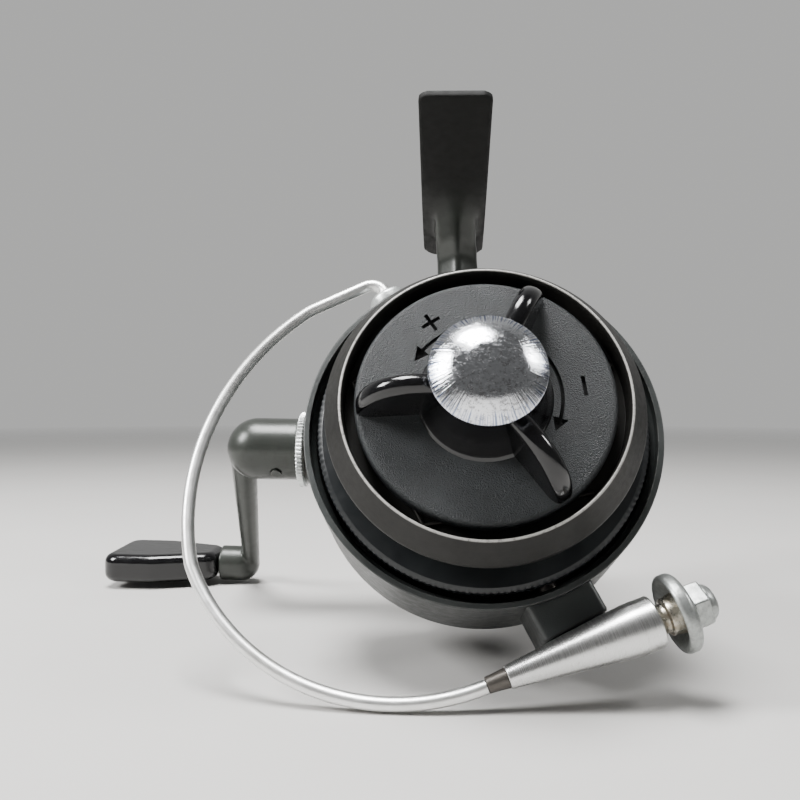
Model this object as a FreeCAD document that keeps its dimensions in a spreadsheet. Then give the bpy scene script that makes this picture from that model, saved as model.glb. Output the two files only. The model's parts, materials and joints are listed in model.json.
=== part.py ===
"""Open-face fishing reel with a folding bail, as an assembly of separate pieces.

Millimetres, +Z up. The origin is the centre of the reel foot's top face, where the rod's seat
presses. The spool's axis runs along Y, its front towards -Y, and the crank is on the -X side.
Most pieces are drawn about the "reel point": the spool axis at the plane of the rotor's rim.
"""
import FreeCAD, Part
import math
import os
import re
import Sketcher

Vector = FreeCAD.Vector
Rotation = FreeCAD.Rotation

doc = FreeCAD.newDocument("OpenFaceReel")

# ---------------------------------------------------------------- driving dimensions
SIZES = {
    # where the reel point lies below, right of and in front of the foot's centre
    "axis_right": 5.4, "axis_front": 20.6, "axis_drop": 67.3,
    # foot and stem
    "foot_width": 14.7, "foot_length": 57.0, "foot_edge": 1.5, "foot_middle": 2.9, "foot_corner": 1.8,
    "foot_back_corner": 4.0,
    "stem_front": 36.6,
    # gear case
    "case_front": 25.4, "case_length": 41.0, "case_top": 25.5, "case_low": 19.5,
    "case_left": 11.0, "case_right": 9.0, "case_wall": 2.0, "case_round": 7.0,
    "cover_thick": 2.6, "screw_radius": 1.5, "screw_head": 2.8,
    "bearing_radius": 8.0, "bearing_length": 3.4,
    # rotor cup
    "rim_radius": 31.0, "rim_wall": 1.1, "cup_wall": 2.0, "cup_back": 24.4, "cup_floor": 2.4,
    "cup_hub": 8.0, "pinion_shank": 4.0, "running": 0.06,
    "ear_left": 7.9, "ear_right": 3.8, "ear_front": 0.8, "ear_depth": 15.0, "ear_inner": 29.4,
    "ear_outer": 36.15,
    # spool
    "lip_front": 13.9, "lip_edge": 9.4, "lip_small": 23.3, "lip_large": 26.2, "recess_radius": 22.7,
    "well_front": 7.4, "well_back": 0.6, "arbor_radius": 14.0, "flange_radius": 28.6,
    "washer_pocket": 12.3, "shaft_radius": 2.5,
    # drag knob and release button
    "disc_radius": 20.95, "disc_front": 13.6, "disc_back": 10.2, "hub_front": 21.8, "hub_radius": 7.6,
    "hub_base": 10.4, "wing_thick": 3.8, "button_radius": 9.0, "button_rim": 24.2, "button_front": 27.4,
    "button_stem": 5.5,
    # crank
    "crank_back": 40.0, "crank_up": 9.5, "boss_radius": 7.6, "boss_reach": 36.4, "crank_shaft": 4.0,
    "bush_radius": 6.0, "ring_radius": 8.3, "ring_start": 36.8, "crank_hub": 6.8, "hub_start": 38.4,
    "elbow_out": 48.0, "arm_start": 51.5, "arm_end": 56.0, "arm_large": 3.0, "arm_small": 2.05,
    "crank_radius": 43.5, "crank_lean": -23.5, "knob_elbow": 58.4, "knob_boss": 4.4, "knob_boss_end": 63.7,
    "knob_pin": 1.8, "knob_pin_length": 29.6, "knob_gap": 0.2, "knob_length": 27.7, "knob_wide": 22.0,
    "knob_narrow": 12.0, "knob_thick": 7.0, "knob_pitch": 24.8,
    "cross_pin": 1.1, "cross_pin_out": 43.0, "cross_pin_half": 7.1,
    # gears
    "gear_radius": 11.0, "gear_plate": 1.5, "gear_face": 5.5, "pinion_tip": 4.6, "pinion_root": 3.7,
    "pinion_length": 6.5, "ratchet_radius": 8.0, "ratchet_thick": 1.4, "spindle_radius": 1.5,
    # bail
    "bail_angle": -28.0, "pivot_side": 2.4, "pivot_back": 6.0, "wire_radius": 1.15, "bow_radius": 38.0,
    "bow_mid": 0.22, "bow_start": 15.9, "bow_corner": 10.5, "bow_flat": 2.18, "end_run": 10.6,
    "end_bend": 3.0, "end_leg": 0.75, "bail_tilt": 0.105, "bail_fore": 0.95,
    "cone_length": 24.3, "cone_taper": 20.3, "cone_small": 1.8, "cone_large": 4.1, "cone_lean": 6.3,
    "cone_side": 16.1, "cone_drop": 38.3, "cone_fore": 3.2, "ferrule_length": 3.3, "stud_radius": 1.2,
    "stud_past": 8.9, "roller_length": 3.9, "roller_radius": 3.0, "flange_dish": 6.2, "nut_corner": 3.8,
    "nut_high": 2.6, "dome_radius": 3.0, "dome_high": 1.7, "arm_thick": 2.4, "arm_drop": 36.4,
    "plate_left": 7.6, "plate_right": 3.4, "boss_in": 31.95, "end_boss": 3.8, "end_boss_high": 2.4,
    "pivot_hole": 1.7, "pivot_pin": 1.6,
}

sheet = doc.addObject("Spreadsheet::Sheet", "Sizes")
for row, (alias, amount) in enumerate(SIZES.items(), start=1):
    sheet.set(f"A{row}", alias)
    sheet.set(f"B{row}", str(amount))
    sheet.setAlias(f"B{row}", alias)
doc.recompute()

FINISHED = []                                          # the pieces that are written out


def size(expression):
    """The value of a sum of products of sheet names and plain numbers."""
    total = 0.0
    for sign, term in re.findall(r"([+-]?)\s*([^+-]+)", expression):
        product = -1.0 if sign == "-" else 1.0
        for operator, factor in re.findall(r"([*/]?)\s*([\w.]+)", term):
            amount = SIZES[factor] if factor in SIZES else float(factor)
            product = product / amount if operator == "/" else product * amount
        total += product
    return total


def bound(expression):
    """The same expression as the document writes it, with its names taken from the sheet."""
    return re.sub(r"[a-z_]+", lambda found: "Sizes." + found.group(), expression)


REEL_POINT = Vector(size("axis_right"), -size("axis_front"), -size("axis_drop"))
UPRIGHT = Rotation()
SIDEWAYS = Rotation(Vector(1, 1, 1), 120)              # local x, y, z run along Y, Z, X
ALONG_X = Rotation(Vector(0, 0, 1), -90)               # a turned piece's axis runs along +X
BAIL_TURN = Rotation(Vector(0, 1, 0), size("bail_angle"))
PIVOT = Vector(-size("pivot_side"), size("pivot_back"), 0)      # in the bail's own directions
CRANK_POINT = Vector(0, size("crank_back"), size("crank_up"))
CRANK_LEAN = math.radians(size("crank_lean"))
KNOB_POINT = CRANK_POINT + Vector(0, math.cos(CRANK_LEAN), math.sin(CRANK_LEAN)) * size("crank_radius")
CROSS_PIN_WAY = Vector(0, 0.35, 0.937)


def place(thing, offset=(0, 0, 0), turn=UPRIGHT):
    """Put a piece at an offset from the reel point."""
    thing.Placement = FreeCAD.Placement(REEL_POINT + Vector(*offset), turn)
    return thing


def finish(thing, label):
    """Name a piece and keep it for writing out."""
    thing.Label = label
    FINISHED.append(thing)
    return thing


def bail_spot(side, back, out):
    """A point given in the bail's own directions, as an offset from the reel point."""
    return tuple(BAIL_TURN.multVec(Vector(side, back, out)))


def left_of(spot, distance):
    """A point to the left of another one, as an offset from the reel point."""
    return tuple(spot - Vector(distance, 0, 0))


# ---------------------------------------------------------------- sketches and solids
def plane_of(body, role):
    return [feature for feature in body.Origin.OriginFeatures if feature.Role == role][0]


def new_sketch(body, plane="XY_Plane", raised="0"):
    """An empty sketch on one of the body's own planes, raised along that plane's normal."""
    sketch = body.newObject("Sketcher::SketchObject", "Sketch")
    sketch.AttachmentSupport = [(plane_of(body, plane), "")]
    sketch.MapMode = "FlatFace"
    if raised != "0":
        sketch.AttachmentOffset.Base.z = size(raised)
        sketch.setExpression("AttachmentOffset.Base.z", bound(raised))
    return sketch


def fix_point(sketch, line, across, along):
    """Hold a line's first point at sizes measured from the sketch's origin."""
    for kind, axis, expression in (("DistanceX", -2, across), ("DistanceY", -1, along)):
        if expression == "0":
            sketch.addConstraint(Sketcher.Constraint("PointOnObject", line, 1, axis))
            continue
        held = sketch.addConstraint(Sketcher.Constraint(kind, -1, 1, line, 1, size(expression)))
        sketch.setExpression(f"Constraints[{held}]", bound(expression))


def draw_outline(sketch, outline):
    """A closed outline of straight sides through points given as pairs of expressions."""
    points = [Vector(size(across), size(along), 0) for across, along in outline]
    first = sketch.GeometryCount
    for start, end in zip(points, points[1:] + points[:1]):
        sketch.addGeometry(Part.LineSegment(start, end))
    for index, (across, along) in enumerate(outline):
        after = first + (index + 1) % len(outline)
        sketch.addConstraint(Sketcher.Constraint("Coincident", first + index, 2, after, 1))
        fix_point(sketch, first + index, across, along)


def draw_circle(sketch, radius, across="0", along="0"):
    """A circle whose radius and centre come from the sheet."""
    centre = Vector(size(across), size(along), 0)
    index = sketch.addGeometry(Part.Circle(centre, Vector(0, 0, 1), size(radius)))
    held = sketch.addConstraint(Sketcher.Constraint("Radius", index, size(radius)))
    sketch.setExpression(f"Constraints[{held}]", bound(radius))
    for kind, axis, expression in (("DistanceX", -2, across), ("DistanceY", -1, along)):
        if expression == "0":
            sketch.addConstraint(Sketcher.Constraint("PointOnObject", index, 3, axis))
            continue
        held = sketch.addConstraint(Sketcher.Constraint(kind, -1, 1, index, 3, size(expression)))
        sketch.setExpression(f"Constraints[{held}]", bound(expression))


def pad(body, sketch, length, backwards=False, middle=False):
    feature = body.newObject("PartDesign::Pad", "Pad")
    feature.Profile = sketch
    feature.Length = size(length)
    feature.setExpression("Length", bound(length))
    feature.Reversed = backwards
    feature.Midplane = middle
    doc.recompute()
    return feature


def pocket(body, sketch, depth, backwards=False):
    """Cut a sketch's area out of the body, and insist that material really goes."""
    before = body.Shape.Volume
    feature = body.newObject("PartDesign::Pocket", "Pocket")
    feature.Profile = sketch
    feature.Length = size(depth)
    feature.setExpression("Length", bound(depth))
    feature.Reversed = backwards
    doc.recompute()
    if body.Shape.Volume > before - 0.01:
        raise RuntimeError(f"{body.Label}: a pocket removes nothing")
    return feature


def edge_names(feature, wanted):
    """The names of the edges whose middle point passes a test."""
    names = []
    for index, edge in enumerate(feature.Shape.Edges, start=1):
        middle = edge.valueAt((edge.FirstParameter + edge.LastParameter) / 2)
        if wanted(edge, middle):
            names.append(f"Edge{index}")
    return names


def fillet(body, feature, radius, wanted):
    rounding = body.newObject("PartDesign::Fillet", "Fillet")
    rounding.Base = (feature, edge_names(feature, wanted))
    rounding.Radius = radius
    doc.recompute()
    return rounding


def turned(label, outline, offset=(0, 0, 0), turn=UPRIGHT, sweep=360.0):
    """A lathe-turned piece: its outline's points are (radius, station along local Y)."""
    body = doc.addObject("PartDesign::Body", label)
    sketch = new_sketch(body)
    draw_outline(sketch, outline)
    revolution = body.newObject("PartDesign::Revolution", "Revolution")
    revolution.Profile = sketch
    revolution.ReferenceAxis = (sketch, ["V_Axis"])
    revolution.Angle = sweep
    doc.recompute()
    place(body, offset, turn)
    return finish(body, label)


def prism(label, outline, thickness, offset=(0, 0, 0), turn=UPRIGHT, raised="0", holes=()):
    """A plate of even thickness: an outline in local XY, padded along local Z."""
    body = doc.addObject("PartDesign::Body", label)
    sketch = new_sketch(body, raised=raised)
    draw_outline(sketch, outline)
    for hole in holes:
        draw_circle(sketch, *hole)
    pad(body, sketch, thickness)
    place(body, offset, turn)
    return finish(body, label)


def rod(label, radius, length, offset, direction):
    """A plain round bar from an offset, along a direction."""
    bar = doc.addObject("Part::Cylinder", label)
    bar.setExpression("Radius", bound(radius))
    bar.setExpression("Height", bound(length))
    place(bar, offset, Rotation(Vector(0, 0, 1), Vector(*direction)))
    bar.Label = label
    return bar


def join(label, pieces):
    fused = doc.addObject("Part::MultiFuse", label)
    fused.Shapes = pieces
    doc.recompute()
    return fused


def subtract(label, base, tool):
    """Cut one solid out of another, and insist that material really goes."""
    cut = doc.addObject("Part::Cut", label)
    cut.Base = base
    cut.Tool = tool
    doc.recompute()
    if cut.Shape.Volume > base.Shape.Volume - 0.001:
        raise RuntimeError(f"{label}: the cut removes nothing")
    return cut


def built(label, shape, offset=(0, 0, 0), turn=UPRIGHT):
    """A piece whose shape is made directly, such as a coil or a group of equal pieces."""
    feature = doc.addObject("Part::Feature", label)
    feature.Shape = shape
    place(feature, offset, turn)
    return finish(feature, label)


def coil(label, radius, wire, length, turns, offset, turn=UPRIGHT):
    """A compression or torsion spring along local Y."""
    helix = Part.makeHelix(length / turns, length, radius)
    start = Part.Wire(Part.makeCircle(wire, Vector(radius, 0, 0), Vector(0, 1, 0)))
    shape = Part.Wire(helix.Edges).makePipeShell([start], True, True)
    return built(label, shape, offset, turn.multiply(Rotation(Vector(1, 0, 0), -90)))


def toothed(label, teeth, tip, root, thickness, bore, offset, turn=UPRIGHT, raised="0"):
    """A wheel in local XY with wedge teeth round it, made as one tooth repeated about the axis."""
    body = doc.addObject("PartDesign::Body", label)
    disc = new_sketch(body, raised=raised)
    draw_circle(disc, root)
    draw_circle(disc, bore)
    pad(body, disc, thickness)
    half_pitch = math.pi * size(root) / teeth
    tooth = new_sketch(body, raised=raised)
    inside = f"{root} - 0.3"
    draw_outline(tooth, [(f"{half_pitch * 0.62:.4f}", inside), (f"{half_pitch * 0.34:.4f}", tip),
                         (f"-{half_pitch * 0.34:.4f}", tip), (f"-{half_pitch * 0.62:.4f}", inside)])
    one = pad(body, tooth, thickness)
    repeat = body.newObject("PartDesign::PolarPattern", "Teeth")
    repeat.Originals = [one]
    repeat.Axis = (disc, ["N_Axis"])
    repeat.Angle = 360
    repeat.Occurrences = teeth
    body.Tip = repeat
    doc.recompute()
    place(body, offset, turn)
    return finish(body, label)


# ---------------------------------------------------------------- gear case, stem and foot
CASE_OUTLINE = [
    ("case_front", "-case_low + 7"), ("case_front", "case_top - 11"), ("case_front + 7", "case_top"),
    ("case_front + 27", "case_top"), ("case_front + case_length", "case_top - 13"),
    ("case_front + case_length", "-case_low + 14"), ("case_front + 28", "-case_low"),
    ("case_front + 9", "-case_low")]
CAVITY_OUTLINE = [
    ("case_front + case_wall", "-case_low + 8"), ("case_front + case_wall", "case_top - 11.5"),
    ("case_front + 7.8", "case_top - case_wall"), ("case_front + 26.2", "case_top - case_wall"),
    ("case_front + case_length - case_wall", "case_top - 14"),
    ("case_front + case_length - case_wall", "-case_low + 15"),
    ("case_front + 27.2", "-case_low + case_wall"), ("case_front + 9.9", "-case_low + case_wall")]


def upright_edges(edge, middle):
    """Straight edges that run along the local Z axis."""
    if edge.Curve.TypeId != "Part::GeomLine":
        return False
    return abs(edge.Curve.Direction.z) > 0.99


def make_case():
    """The hollow gear case, open on its right side, with the crank's long boss on its left."""
    body = doc.addObject("PartDesign::Body", "Case")
    shell = new_sketch(body, raised="-case_left")
    draw_outline(shell, CASE_OUTLINE)
    shape = pad(body, shell, "case_left + case_right")
    shape = fillet(body, shape, size("case_round"), upright_edges)
    left_side = -size("case_left")
    shape = fillet(body, shape, 2.2, lambda edge, middle: abs(middle.z - left_side) < 0.01)
    boss = new_sketch(body, raised="-boss_reach")
    draw_circle(boss, "boss_radius", "crank_back", "crank_up")
    pad(body, boss, "boss_reach - case_left + 1")
    cavity = new_sketch(body, raised="case_right")
    draw_outline(cavity, CAVITY_OUTLINE)
    pocket(body, cavity, "case_left + case_right - case_wall")
    collar = new_sketch(body, "YZ_Plane", "case_front - 0.5")
    draw_circle(collar, "bearing_radius + 0.9")
    pad(body, collar, "bearing_length + 0.5")
    seat = new_sketch(body, "YZ_Plane", "case_front - 1")
    draw_circle(seat, "bearing_radius")
    pocket(body, seat, "bearing_length + 1.6", backwards=True)
    bush_seat = new_sketch(body, raised="-boss_reach - 1")
    draw_circle(bush_seat, "bush_radius", "crank_back", "crank_up")
    pocket(body, bush_seat, "boss_reach - case_left + case_wall + 1.5", backwards=True)
    spindle_hole = new_sketch(body, raised="-case_left - 1")
    draw_circle(spindle_hole, "spindle_radius + running", "case_front + 29", "3")
    pocket(body, spindle_hole, "case_wall + 2", backwards=True)
    place(body, turn=SIDEWAYS)
    return body


def section(label, corners, height):
    """One closed cross-section of the stem."""
    outline = doc.addObject("Part::Polygon", label)
    outline.Nodes = [Vector(across, back, height) for across, back in corners]
    outline.Close = True
    return outline


def stem_corners(middle, half_width, tip, front, shoulder, back):
    """A stem section: a narrow front ridge or two parted front corners, two shoulders and a back."""
    taper = half_width * 0.8
    return [(middle - tip, front), (middle + tip, front), (middle + half_width, shoulder),
            (middle + taper, back), (middle - taper, back), (middle - half_width, shoulder)]


def make_stem():
    """The stem rises from the case and sweeps forward under the foot, where its ridge forks."""
    front = size("stem_front")
    ridge = 0.35
    sections = [
        section("StemRoot", stem_corners(-3.6, 7.0, ridge, front - 1.0, front + 4.8, front + 15.0), 24.0),
        section("StemWaist", stem_corners(-4.1, 5.1, ridge, front - 0.2, front + 3.8, front + 11.0), 52.0),
        section("StemNeck", stem_corners(-4.3, 5.0, ridge, front - 1.4, front + 2.6, front + 11.0), 57.0),
        section("StemLean", stem_corners(-4.6, 5.0, ridge, front - 4.4, front - 0.2, front + 11.1), 60.2),
        section("StemFork", stem_corners(-4.9, 5.0, 0.5, front - 8.6, front - 4.4, front + 11.2), 62.3),
        section("StemRibs", stem_corners(-5.0, 4.9, 1.6, front - 12.4, front - 8.2, front + 11.3), 63.6),
        section("StemHead", stem_corners(-5.1, 4.7, 3.0, front - 19.1, front - 15.1, front + 11.4), 65.0)]
    stem = doc.addObject("Part::Loft", "Stem")
    stem.Sections = sections
    stem.Solid = True
    stem.Ruled = True
    doc.recompute()
    return place(stem)


def make_foot():
    """The foot plate: flat on top, thicker in the middle, with rounder corners at its back."""
    body = doc.addObject("PartDesign::Body", "Foot")
    profile = new_sketch(body, "YZ_Plane")
    half = "foot_length / 2"
    draw_outline(profile, [(f"-{half}", "0"), (half, "0"), (half, "-foot_edge"), ("15", "-foot_middle"),
                           ("2", "-foot_middle"), (f"-{half}", "-foot_edge")])
    plate = pad(body, profile, "foot_width", middle=True)
    end = size("foot_length / 2")
    plate = fillet(body, plate, size("foot_corner"),
                   lambda edge, middle: upright_edges(edge, middle) and abs(middle.y + end) < 0.01)
    fillet(body, plate, size("foot_back_corner"),
           lambda edge, middle: upright_edges(edge, middle) and abs(middle.y - end) < 0.01)
    return body


def make_housing():
    """The case, the stem and the foot are one casting, joined one after another."""
    casting = make_case()
    for piece in (make_stem(), make_foot()):
        joined = doc.addObject("Part::Fuse", "Casting")
        joined.Base = casting
        joined.Tool = piece
        doc.recompute()
        casting = joined
    finish(casting, "housing")


COVER_SCREWS = [("case_front + 6.2", "case_top - 8.4"), ("case_front + case_length - 7", "case_top - 13"),
                ("case_front + 13", "-case_low + 4.5")]


def by_screw(middle):
    """True for an edge of one of the cover's screw holes."""
    return any(math.hypot(middle.x - size(across), middle.y - size(along)) < 3
               for across, along in COVER_SCREWS)


def make_side_cover():
    """The plate that closes the case's open side, with rounded corners and a softened outer edge."""
    holes = [("screw_radius + 0.05", across, along) for across, along in COVER_SCREWS]
    cover = prism("side_cover", CASE_OUTLINE, "cover_thick", turn=SIDEWAYS, raised="case_right",
                  holes=holes)
    base = fillet(cover, cover.Tip, size("case_round"),
                  lambda edge, middle: upright_edges(edge, middle) and not by_screw(middle))
    outside = size("case_right + cover_thick")
    fillet(cover, base, 0.9, lambda edge, middle: abs(middle.z - outside) < 0.01 and not by_screw(middle))


def make_cover_screws():
    """Three equal slotted screws, each with a post of the case's own thickness round it."""
    shapes = []
    face = size("case_right + cover_thick")
    for across, along in COVER_SCREWS:
        centre = Vector(face, size(across), size(along))
        shank = Part.makeCylinder(size("screw_radius"), size("cover_thick") + 5, centre, Vector(-1, 0, 0))
        head = Part.makeCylinder(size("screw_head"), 1.2, centre, Vector(1, 0, 0))
        slot = Part.makeBox(0.8, 6.4, 0.7, centre + Vector(0.6, -3.2, -0.35))
        shapes.append(head.cut(slot).fuse(shank))
    built("cover_screws", Part.makeCompound(shapes))


def make_case_bearings():
    """The pinion's front bearing and the long bushing that carries the crank's shaft."""
    turned("pinion_bearing", [("pinion_shank + running", "case_front"), ("bearing_radius", "case_front"),
                              ("bearing_radius", "case_front + bearing_length"),
                              ("pinion_shank + running", "case_front + bearing_length")])
    outer_end = "-boss_reach + 0.2"
    inner_end = "-case_left + case_wall"
    turned("crank_bushing", [("crank_shaft + running", outer_end), ("bush_radius", outer_end),
                             ("bush_radius", inner_end), ("crank_shaft + running", inner_end)],
           offset=tuple(CRANK_POINT), turn=ALONG_X)


# ---------------------------------------------------------------- crank, its gear and its knob
def cross_pin(label, length):
    """A bar along the cross pin's line, which crosses the crank's hub."""
    middle = CRANK_POINT - Vector(size("cross_pin_out"), 0, 0)
    return rod(label, "cross_pin", length, tuple(middle - CROSS_PIN_WAY * size("cross_pin_half")),
               tuple(CROSS_PIN_WAY))


def make_crank():
    """The crank: a hub, a ball-shaped elbow, a tapering arm and a second elbow with the knob's boss."""
    to_left = (-1, 0, 0)
    hub = rod("CrankHub", "crank_hub", "elbow_out - hub_start", left_of(CRANK_POINT, size("hub_start")),
              to_left)
    balls = []
    for label, radius, spot in (("CrankElbow", "crank_hub", left_of(CRANK_POINT, size("elbow_out"))),
                                ("KnobElbow", "knob_boss", left_of(KNOB_POINT, size("knob_elbow")))):
        ball = doc.addObject("Part::Sphere", label)
        ball.setExpression("Radius", bound(radius))
        balls.append(place(ball, spot, Rotation(Vector(0, 0, 1), Vector(*to_left))))
    start = Vector(*left_of(CRANK_POINT, size("arm_start")))
    run = Vector(*left_of(KNOB_POINT, size("arm_end"))) - start
    arm = doc.addObject("Part::Cone", "CrankArm")
    arm.setExpression("Radius1", bound("arm_large"))
    arm.setExpression("Radius2", bound("arm_small"))
    arm.Height = run.Length
    place(arm, tuple(start), Rotation(Vector(0, 0, 1), run))
    boss = rod("KnobBoss", "knob_boss", "knob_boss_end - knob_elbow",
               left_of(KNOB_POINT, size("knob_elbow")), to_left)
    blank = join("CrankBlank", [hub, arm, boss] + balls)
    shaft_hole = rod("CrankShaftHole", "crank_shaft", "elbow_out - hub_start",
                     left_of(CRANK_POINT, size("hub_start") - 0.5), to_left)
    pin_hole = rod("KnobPinHole", "knob_pin", "knob_boss_end - knob_elbow + 1",
                   left_of(KNOB_POINT, size("knob_elbow")), to_left)
    cross_hole = cross_pin("CrossPinHole", "2 * cross_pin_half + 0.4")
    tools = join("CrankHoles", [shaft_hole, pin_hole, cross_hole])
    finish(subtract("Crank", blank, tools), "crank_arm")


def make_crank_fittings():
    """The crank's drilled shaft, the pin through its hub, the ribbed lock ring and the knob's pin."""
    finish(cross_pin("CrossPin", "2 * cross_pin_half"), "crank_cross_pin")
    inner_end = left_of(CRANK_POINT, size("gear_face"))
    shaft = rod("DriveShaft", "crank_shaft", "elbow_out - gear_face - 1", inner_end, (-1, 0, 0))
    cross_hole = cross_pin("ShaftCrossHole", "2 * cross_pin_half + 0.4")
    finish(subtract("DriveShaftDrilled", shaft, cross_hole), "drive_shaft")
    toothed("crank_lock_ring", 72, "ring_radius", "ring_radius - 0.35", "hub_start - ring_start",
            "crank_shaft", left_of(CRANK_POINT, size("hub_start")), SIDEWAYS)
    turned("knob_pin", [("0", "0"), ("knob_pin", "0"), ("knob_pin", "-knob_pin_length"),
                        ("0", "-knob_pin_length")], left_of(KNOB_POINT, size("knob_elbow")), ALONG_X)


def make_knob():
    """A flat paddle, wider at its outer end, that turns on its pin."""
    body = doc.addObject("PartDesign::Body", "Paddle")
    outline = new_sketch(body)
    draw_outline(outline, [("0", "-knob_narrow / 2"), ("0", "knob_narrow / 2"),
                           ("-knob_length * 0.55", "knob_wide / 2"), ("-knob_length", "knob_wide / 2"),
                           ("-knob_length", "-knob_wide / 2"), ("-knob_length * 0.55", "-knob_wide / 2")])
    slab = pad(body, outline, "knob_thick", middle=True)
    slab = fillet(body, slab, 4.0, upright_edges)
    half = size("knob_thick") / 2
    slab = fillet(body, slab, 2.2, lambda edge, middle: abs(abs(middle.z) - half) < 0.01)
    bore = new_sketch(body, "YZ_Plane", "1")
    draw_circle(bore, "knob_pin + running")
    pocket(body, bore, "knob_length - 1.5")
    place(body, left_of(KNOB_POINT, size("knob_boss_end + knob_gap")),
          Rotation(Vector(1, 0, 0), size("knob_pitch")))
    finish(body, "crank_knob")


def make_drive_gear():
    """A disc with a crown of radial teeth on the face towards the pinion, and an offset crank pin."""
    body = doc.addObject("PartDesign::Body", "DriveGear")
    disc = new_sketch(body, raised="-gear_plate")
    draw_circle(disc, "gear_radius")
    draw_circle(disc, "crank_shaft")
    pad(body, disc, "gear_plate")
    tooth = new_sketch(body)
    draw_outline(tooth, [("0.35", "gear_radius - 2.4"), ("0.55", "gear_radius - 0.05"),
                         ("-0.55", "gear_radius - 0.05"), ("-0.35", "gear_radius - 2.4")])
    one = pad(body, tooth, "0.75")
    crown = body.newObject("PartDesign::PolarPattern", "Crown")
    crown.Originals = [one]
    crown.Axis = (disc, ["N_Axis"])
    crown.Angle = 360
    crown.Occurrences = 40
    body.Tip = crown
    doc.recompute()
    place(body, left_of(CRANK_POINT, size("gear_face")), SIDEWAYS)
    finish(body, "drive_gear")
    behind = size("gear_face + gear_plate + ratchet_thick + 0.05")
    toothed("anti_reverse_ratchet", 12, "ratchet_radius", "ratchet_radius - 1.4", "ratchet_thick",
            "crank_shaft", left_of(CRANK_POINT, behind), SIDEWAYS)
    off_centre = CRANK_POINT + Vector(0, 3.5, 0)
    finish(rod("OscillationPin", "1.4", "0.8", left_of(off_centre, size("gear_face - 0.02")), (1, 0, 0)),
           "oscillation_pin")


def make_anti_reverse():
    """An outside lever on a spindle through the case wall, with the pawl on its inner end."""
    spot = Vector(0, size("case_front") + 29, 3)
    inner_end = 7.3
    outer_end = size("case_left") + 2.2
    length = f"{outer_end - inner_end:.3f}"
    finish(rod("Spindle", "spindle_radius", length, left_of(spot, inner_end), (-1, 0, 0)),
           "anti_reverse_spindle")
    hole = [("spindle_radius",)]
    lever = [("-3", "-2.6"), ("3", "-2.6"), ("3", "2"), ("1.8", "11"), ("-1.8", "11"), ("-3", "2")]
    prism("anti_reverse_lever", lever, "1.9", left_of(spot, outer_end), SIDEWAYS, holes=hole)
    pawl = [("-5.6", "0.6"), ("-2.2", "-2.4"), ("2.6", "-2.4"), ("2.6", "2.4"), ("-1", "2.6")]
    prism("anti_reverse_pawl", pawl, "1.2", left_of(spot, inner_end + 1.3), SIDEWAYS, holes=hole)


# ---------------------------------------------------------------- pinion and rotor
def make_pinion():
    """The pinion: teeth at the back, a long hollow shank that carries the rotor."""
    back = size("case_front + bearing_length + 0.6")
    toothed("pinion", 12, "pinion_tip", "pinion_root", "pinion_length", "shaft_radius + running",
            (0, back, 0), Rotation(Vector(1, 0, 0), -90))
    turned("pinion_sleeve", [("shaft_radius + running", "9.2"), ("pinion_shank", "9.2"),
                             ("pinion_shank", "case_front + bearing_length + 0.6"),
                             ("shaft_radius + running", "case_front + bearing_length + 0.6")])


def make_rotor():
    """The rotor cup with a thin rim, a hub on the pinion, and two lugs for the bail's pivots."""
    floor = "cup_back - cup_floor"
    cup = turned("RotorCup", [
        ("rim_radius - rim_wall", "0"), ("rim_radius - 0.3", "0"), ("rim_radius", "0.3"),
        ("rim_radius", "cup_back - 2.2"), ("rim_radius - 2.2", "cup_back"),
        ("pinion_shank", "cup_back"), ("pinion_shank", "13.8"), ("cup_hub", "13.8"), ("cup_hub", floor),
        ("rim_radius - cup_wall - 1.6", floor), ("rim_radius - cup_wall", f"{floor} - 1.6"),
        ("rim_radius - cup_wall", "3"), ("rim_radius - rim_wall", "2")])
    FINISHED.remove(cup)
    ear = doc.addObject("Part::Box", "Ear")
    ear.setExpression("Length", bound("ear_left + ear_right"))
    ear.setExpression("Width", bound("ear_depth"))
    ear.setExpression("Height", bound("ear_outer - ear_inner"))
    place(ear, bail_spot(-size("ear_left"), size("ear_front"), -size("ear_outer")), BAIL_TURN)
    far_pad = rod("FarPad", "4.6", "2.4", bail_spot(*PIVOT + Vector(0, 0, 29.3)),
                  BAIL_TURN.multVec(Vector(0, 0, 1)))
    blank = join("RotorBlank", [cup, ear, far_pad])
    holes = []
    for name, way in (("NearHole", Vector(0, 0, -1)), ("FarHole", Vector(0, 0, 1))):
        holes.append(rod(name, "pivot_hole", "14", bail_spot(*PIVOT + way * 25), BAIL_TURN.multVec(way)))
    finish(subtract("Rotor", blank, join("PivotHoles", holes)), "rotor")


def hexagon(corner):
    """The corners of a nut's outline."""
    angles = [math.radians(60 * side) for side in range(6)]
    return [(f"{corner * math.cos(angle):.4f}", f"{corner * math.sin(angle):.4f}") for angle in angles]


def make_rotor_fittings():
    """The nut and the washer that hold the cup on the pinion, and the weight that balances the bail."""
    forward = Rotation(Vector(1, 0, 0), 90)
    prism("rotor_nut", hexagon(6.2), "3.6", (0, 13.3, 0), forward, holes=[("pinion_shank",)])
    turned("rotor_washer", [("pinion_shank", "13.35"), ("6.6", "13.35"), ("6.6", "13.75"),
                            ("pinion_shank", "13.75")])
    outer = "rim_radius - cup_wall - 0.3"
    turned("counterweight", [("24.5", "11"), (outer, "11"), (outer, "18.4"), ("24.5", "18.4")],
           turn=Rotation(Vector(0, 1, 0), size("bail_angle") - 60), sweep=60.0)


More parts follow.
